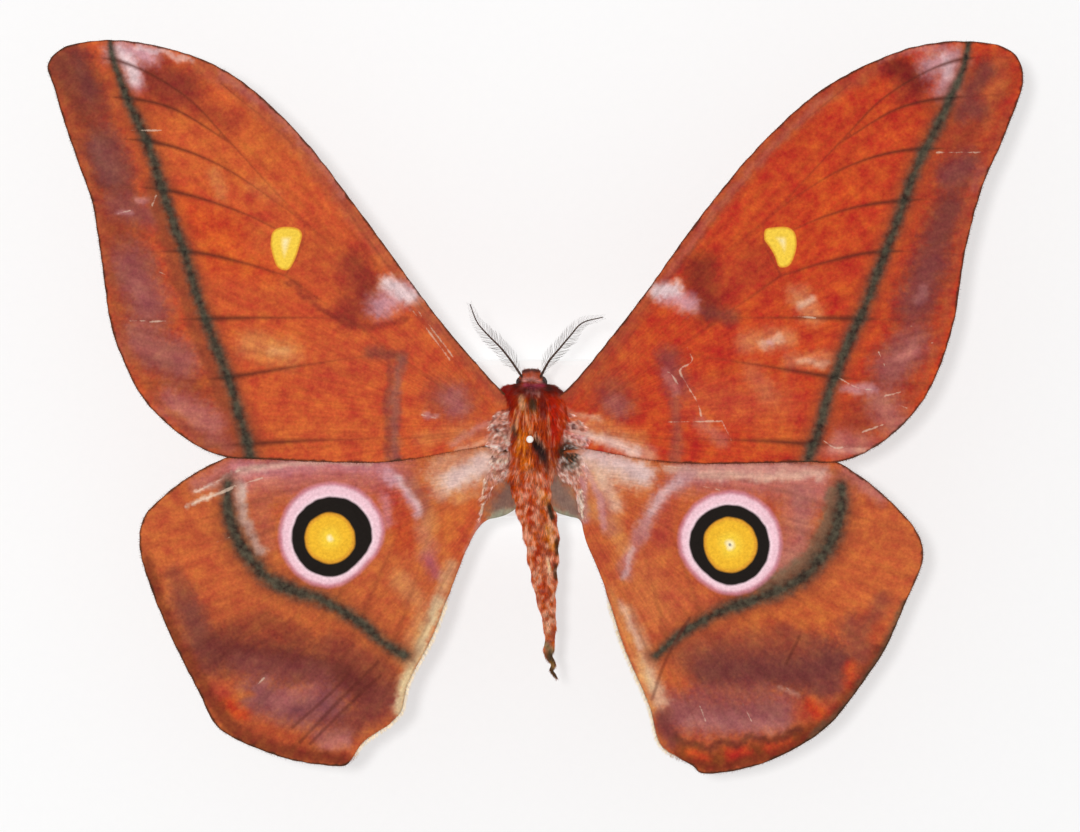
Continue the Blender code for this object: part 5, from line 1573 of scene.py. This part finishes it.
def body_coat(name, slot, where, way, reach, rise, density, **options):
    """A coat over part of the body's skin: where it grows, which way it lies and how long it is."""
    lie = along_skin(way, skin_normals)
    grow(name, body_bed, slot, where, lie, reach, rise, body_colours, density, **options)


back = np.tile((0.0, -1.0, 0.0), (len(py), 1))
thorax = ease(388, 394, py) * (1 - ease(470, 478, py))
upper, under = ease(-0.35, -0.25, facing_up), 1 - ease(-0.35, -0.25, facing_up)
fan = back.copy()
fan[:, X] += aside * 0.4 + noise_at(skin_pixels, 7, 5.0)[:, 0] * 0.7
thorax_reach = (1.2 + 0.8 * ease(392, 412, py)) * MM
body_coat("thorax_coat_upper", "thorax_hair", thorax * upper, fan, thorax_reach, 0.3, 74, spread=1.4, seed=11)
body_coat("thorax_coat_lower", "thorax_hair", thorax * under, fan, 1.8 * MM, 0.4, 55, seed=12)
shoulders = ease(384.5, 387, py) * (1 - ease(424, 440, py)) * ease(0.45, 0.7, np.abs(aside))
shoulders *= ease(-0.5, -0.2, facing_up)
sweep = back * (0.5 + 0.5 * ease(388, 400, py))[:, None]
sweep[:, X] += np.sign(aside) * (0.9 - 0.4 * ease(388, 400, py))
shoulder_reach = (0.7 + 1.6 * ease(388, 402, py)) * MM
body_coat("shoulder_locks", "thorax_hair", shoulders, sweep, shoulder_reach, 0.2, 75, seed=13)
collar = ease(384, 387, py) * (1 - ease(396, 402, py))
ruff = back * 0.6
ruff[:, X] += aside * 0.9
body_coat("collar_coat", "thorax_hair", collar, ruff, 0.9 * MM, 0.25, 90, seed=14)
head = 1 - ease(385, 389, py)
face = back * (1.5 * ease(376, 384, py) - 0.9)[:, None] + np.array((0, 0, -0.2))
face[:, X] += aside * 0.5
to_eyes = np.min([np.linalg.norm(skin_points - np.array(at), axis=1) for at in EYE_AT.values()], axis=0)
head *= ease(EYE_RADIUS, EYE_RADIUS + 0.25 * MM, to_eyes)
body_coat("head_coat", "head_hair", head, face, 0.75 * MM, 0.45, 300, blades="short", lock_size=0.6 * MM,
          seed=15)
abdomen = ease(468, 474, py) * (1 - ease(650, 656, py))
ring_share = np.clip((py - SEGMENT_FROM) / (SEGMENT_TO - SEGMENT_FROM), 0, 1)
ring_edge = 0.5 + 0.5 * np.cos(2 * math.pi * SEGMENTS * ring_share)
abdomen_reach = (0.85 - 0.3 * ease(480, 640, py) + 0.15 * ring_edge) * MM
sleek = back.copy()
sleek[:, X] += aside * 0.18 + noise_at(skin_pixels, 8, 9.0)[:, 0] * 0.5
body_coat("abdomen_coat_upper", "abdomen_hair", abdomen * upper, sleek, abdomen_reach, 0.1 + 0.06 * ring_edge,
          86, blades="short", lock_size=0.9 * MM, spread=0.7, seed=16)
body_coat("abdomen_coat_lower", "abdomen_hair", abdomen * under, sleek, abdomen_reach, 0.25, 60,
          blades="short", lock_size=0.9 * MM, seed=17)
tail_reach = (1.1 - 0.5 * ease(652, 664, py)) * MM
body_coat("tail_coat", "abdomen_hair", ease(640, 650, py), back, tail_reach, 0.12, 220, spread=0.4,
          lock_size=0.7 * MM, seed=18)
bpy.data.objects.remove(body_bed)

palp_bed = bed_of(palps)
palp_normals = mesh_normals(palps.data)
onward = along_skin(np.tile((0.0, 0.8, 0.5), (len(palp_points), 1)), palp_normals)
grow("palp_coat", palp_bed, "head_hair", 1.0, onward, 0.45 * MM, 0.45, one_tone("#8E4236"), 260,
     blades="short", lock_size=0.5 * MM, seed=19)
bpy.data.objects.remove(palp_bed)

leg_bed = joined("leg_bed", [bed_of(leg) for leg in legs.values()])
leg_at = np.concatenate(leg_at)
leg_lie = along_skin(np.vstack(leg_lie), mesh_normals(leg_bed.data))
on_foot = ease(1.9, 2.2, leg_at)
leg_reach = (0.75 - 0.3 * ease(1, 2, leg_at) - 0.25 * on_foot) * MM
grow("leg_coat", leg_bed, "leg_hair", 1 - ease(2.0, 2.2, leg_at) * 0.3, leg_lie, leg_reach,
     0.5 - 0.25 * on_foot, one_tone(LEG_TONE), 84, blades="short", lock_size=0.7 * MM, spread=0.8, seed=20)
bpy.data.objects.remove(leg_bed)

# Wing-root hair
# Longer pink and cream hair covers the hinge of each wing, and runs on as a fringe down the inner margin of
# the hindwings. Every other margin has a short even fringe.
ROOT_PATCHES = {
    "forewing_left": [(490, 420), (498, 411), (514, 410), (516, 436), (508, 448), (493, 449), (488, 436)],
    "forewing_right": [(558, 412), (572, 414), (582, 424), (587, 440), (578, 448), (562, 446), (556, 430)],
    "hindwing_left": [(490, 456), (512, 452), (514, 468), (505, 478), (495, 484), (487, 500), (480, 522),
                      (482, 500), (485, 478)],
    "hindwing_right": [(556, 452), (580, 454), (587, 466), (584, 484), (583, 520), (577, 504), (572, 484),
                       (558, 476)],
}
ROOT_STROKES = [
    ("#C05A3E", 0.85, 6, [(492, 408), (510, 406)]),
    ("#EFE2D8", 0.95, 2.2, [(491, 415), (494, 418)]),
    ("#E8CCBE", 0.85, 2.2, [(484, 428), (498, 431)]),
    ("#C8806A", 0.8, 3, [(486, 434), (500, 438)]),
    ("#4A1A14", 0.9, 1.9, [(494, 426), (497, 431)]),
    ("#7A3A30", 0.7, 2, [(504, 424), (507, 434)]),
    ("#EAD4C2", 0.85, 2, [(502, 434), (508, 444)]),
    ("#54201A", 0.9, 2, [(500, 449), (504, 453)]),
    ("#5A241E", 0.85, 2.4, [(490, 455), (493, 460)]),
    ("#E6C4B4", 0.85, 3, [(484, 446), (498, 450)]),
    ("#D08A74", 0.7, 3, [(486, 468), (500, 474)]),
    ("#EFDCC8", 0.85, 3.4, [(482, 462), (508, 460)]),
    # Painted shade in the gap between the hindwing's root and the abdomen
    ("#7A5048", 0.9, 5, [(502, 484), (500, 496)]),
    ("#EAD6BC", 0.9, 3, [(484, 480), (482, 512)]),
    ("#C0412A", 0.85, 6, [(562, 408), (566, 430)]),
    ("#D4806A", 0.8, 5, [(576, 412), (584, 424)]),
    ("#F0D4C4", 0.9, 3, [(580, 422), (596, 430)]),
    ("#E8BCC0", 0.85, 3, [(574, 436), (592, 440)]),
    ("#521818", 0.95, 2.6, [(573, 425), (574, 429)]),
    ("#F2E2E4", 0.9, 3.2, [(584, 446), (598, 450)]),
    ("#1E261E", 1.0, 9.5, [(565, 450), (571, 454), (570, 462)]),
    ("#CDD0C8", 0.9, 1.3, [(562, 459), (568, 463)]),
    ("#B8C2BC", 0.9, 1.2, [(566, 450), (573, 453)]),
    ("#C4C2B8", 0.85, 1.5, [(568, 467), (576, 464)]),
    ("#F2DEDC", 0.9, 5, [(586, 458), (598, 470)]),
    ("#C87F66", 0.7, 3, [(566, 472), (576, 478)]),
    # Painted shade in the gap between the hindwing's root and the abdomen
    ("#8A7065", 0.9, 5, [(562, 484), (568, 500)]),
    ("#F0E0CC", 0.95, 3, [(580, 474), (582, 516)]),
]


def root_colours(pixels, facing_up):
    """The pink and cream of the wing roots, with pale and dark hairs mixed through it and painted shade near
    the abdomen.
    """
    colours = painted(pixels, "#D8A08E", ROOT_STROKES, 0.28)
    mixed = noise_at(pixels, 3.4, 15.0)[:, 0]
    bright = ease(0.14, 0.3, colours.mean(axis=1))
    colours += (srgb("#F4E8E2") - colours) * (0.65 * ease(0.04, 0.3, mixed) * bright)[:, None]
    return colours + (srgb("#6E3228") - colours) * (0.5 * ease(0.14, 0.36, -mixed))[:, None]


def patch_bed(name, outline, drop, lift):
    """A thin bed of points just over a wing, within an outline of the picture."""
    spacing = 0.45 * MM
    points, faces = filled(smooth_line(plan([*outline, outline[0]]), spacing)[:-1], [], spacing)
    placed = np.column_stack([points, wing_height(points, drop) + lift])
    flat = (points - points.min(axis=0)) / np.ptp(points, axis=0).max()
    made = add_piece(name, placed, faces, (0.01 + 0.98 * flat)[faces.ravel()])
    made.data.uv_layers["OFBake"].name = "root_map"
    return made, points


for name, outline in ROOT_PATCHES.items():
    pair, side = name.split("_")
    bed, points = patch_bed("root_bed", outline, WING_DROP[pair], 0.08 * MM)
    way = noise_at(to_pixels(points), 9, 2.0) * (0.7, 0.6, 0)
    way += (0.8, -0.5, 0) if pair == "forewing" else (0.5, -0.9, 0)
    way[:, X] *= -1 if side == "left" else 1
    way /= np.linalg.norm(way, axis=1)[:, None]
    grow("root_hair_" + name, bed, pair + "_scales", 1.0, way, 0.8 * MM, 0.12, root_colours, 120,
         lock_size=0.7 * MM, spread=1.8, seed=31 + list(ROOT_PATCHES).index(name))
    bpy.data.objects.remove(bed)

FRINGE_TONE = {"forewing": "#5A3022", "hindwing": "#6A3020"}
FRINGE_LENGTH = 0.28
INNER_FRINGE = 0.32
for name in WINGS:
    pair, side = name.split("_")
    outline = smooth_line(plan(WINGS[name]["outline"]), MESH_STEP)
    run = np.gradient(outline, axis=0)
    run /= np.linalg.norm(run, axis=1)[:, None]
    out = np.column_stack([run[:, 1], -run[:, 0]])
    if ((outline - outline.mean(axis=0)) * out).sum() < 0:
        out = -out
    points = np.vstack([outline - out * 0.02 * MM, outline - out * 0.14 * MM])
    count = len(outline)
    placed = np.column_stack([points, wing_height(points, WING_DROP[pair]) + 0.03 * MM])
    faces = [(i, i + 1, count + i + 1, count + i) for i in range(count - 1)]
    share = np.linspace(0.01, 0.99, count)
    unwrap = np.array([[(share[i], 0.4), (share[i + 1], 0.4), (share[i + 1], 0.5), (share[i], 0.5)]
                       for i in range(count - 1)]).reshape(-1, 2)
    bed = add_piece("fringe_bed", placed, faces, unwrap)
    bed.data.uv_layers["OFBake"].name = "root_map"
    pixels = to_pixels(points)
    from_body = np.abs(pixels[:, 0] - BODY_X)
    outs = np.vstack([out, out])
    way = np.column_stack([outs, np.zeros(2 * count)])
    inner = inner_margin(pixels, MARGIN_HAIR_FROM) * (pair == "hindwing")
    way[:, Y] -= inner * 0.8
    way /= np.linalg.norm(way, axis=1)[:, None]
    if pair == "forewing":
        amount = 0.15 + 0.85 * ease(-0.2, 0.5, -outs[:, 1] + 0.5 * (from_body > 430))
    else:
        amount = ease(455, 475, pixels[:, 1]) * ease(50, 56, from_body) + inner * 1.5

    def fringe_colours(pixels, facing_up, tone=FRINGE_TONE[pair], pair=pair):
        """The margin's own tone, and cream down the inner margin of a hindwing."""
        share = 0.95 * inner_margin(pixels, MARGIN_HAIR_FROM) * (pair == "hindwing")
        return srgb(tone) + (srgb("#EBD9B8") - srgb(tone)) * share[:, None]

    grow("fringe_" + name, bed, pair + "_scales", amount, way, (FRINGE_LENGTH + INNER_FRINGE * inner) * MM,
         0.1, fringe_colours, 110, blades="short", lock_size=0.8 * MM, spread=0.3, jitter=0.1,
         seed=41 + list(WINGS).index(name))
    bpy.data.objects.remove(bed)

for made in [o for kind in BLADES.values() for o in kind.objects]:
    bpy.data.objects.remove(made)
for kind in BLADES.values():
    bpy.data.collections.remove(kind)

# Room
# A plain white light table that glows faintly, so that shadows stay weak, with a soft lamp high up to the
# left and the pale room around it. The camera looks straight down on the specimen, as a copy stand does.
FLOOR_WIDE = 4.0
TABLE_GLOW = 0.52
CAMERA_LENS = 240
CAMERA_AT = (1.235 * MM, 2.84 * MM, 915.7 * MM)
LAMP_AT = (-0.07, 0.035, 1.15)
LAMP_WIDE = 0.07
LAMP_POWER = 6.0
ROOM_LIGHT = 0.6

floor_mesh = bpy.data.meshes.new("table_top")
edge = FLOOR_WIDE / 2
corners = [(-edge, -edge, 0), (edge, -edge, 0), (edge, edge, 0), (-edge, edge, 0)]
floor_mesh.from_pydata(corners, [], [(0, 1, 2, 3)])
floor = shown("table_top", floor_mesh)
opal, tree, shader, place = new_finish("opal_acrylic", 0.9, 0.1)
tone = blend(tree, grain(tree, place, 900.0, 3.0), "#AEAEAE", "#B1B1B1")
# Painted light: the top is a little lighter to the upper left, towards the lamp, and darker to the lower
# right
slope = node(tree, "ShaderNodeVectorMath", {"operation": "DOT_PRODUCT"}, {0: place, 1: (1.0, -1.0, 0)})
painted_light_falloff = ramp(tree, slope.outputs["Value"], -0.05, 0.05, 1.03, 0.97)
dress(tree, shader, node(tree, "ShaderNodeHueSaturation", {}, {"Value": painted_light_falloff, "Color": tone}).outputs[0])
glow(shader, TABLE_GLOW)
floor_mesh.materials.append(opal)

lamp = bpy.data.lights.new("soft_lamp", "AREA")
lamp.shape = "DISK"
lamp.size = LAMP_WIDE
lamp.energy = LAMP_POWER
lamp_object = shown("soft_lamp", lamp)
lamp_object.location = LAMP_AT
lamp_object.rotation_euler = (-lamp_object.location).to_track_quat("-Z", "Y").to_euler()

room = bpy.data.worlds.new("pale_room")
room.use_nodes = True
sky = room.node_tree.nodes["Background"]
sky.inputs["Color"].default_value = (1.0, 1.0, 1.0, 1.0)
sky.inputs["Strength"].default_value = ROOM_LIGHT
bpy.context.scene.world = room
bpy.context.scene.view_settings.view_transform = "Standard"

lens = bpy.data.cameras.new("copy_camera")
lens.lens = CAMERA_LENS
lens.sensor_width = 36
lens.clip_start = 0.01
lens.clip_end = 20
camera = shown("copy_camera", lens)
camera.location = CAMERA_AT
bpy.context.scene.camera = camera
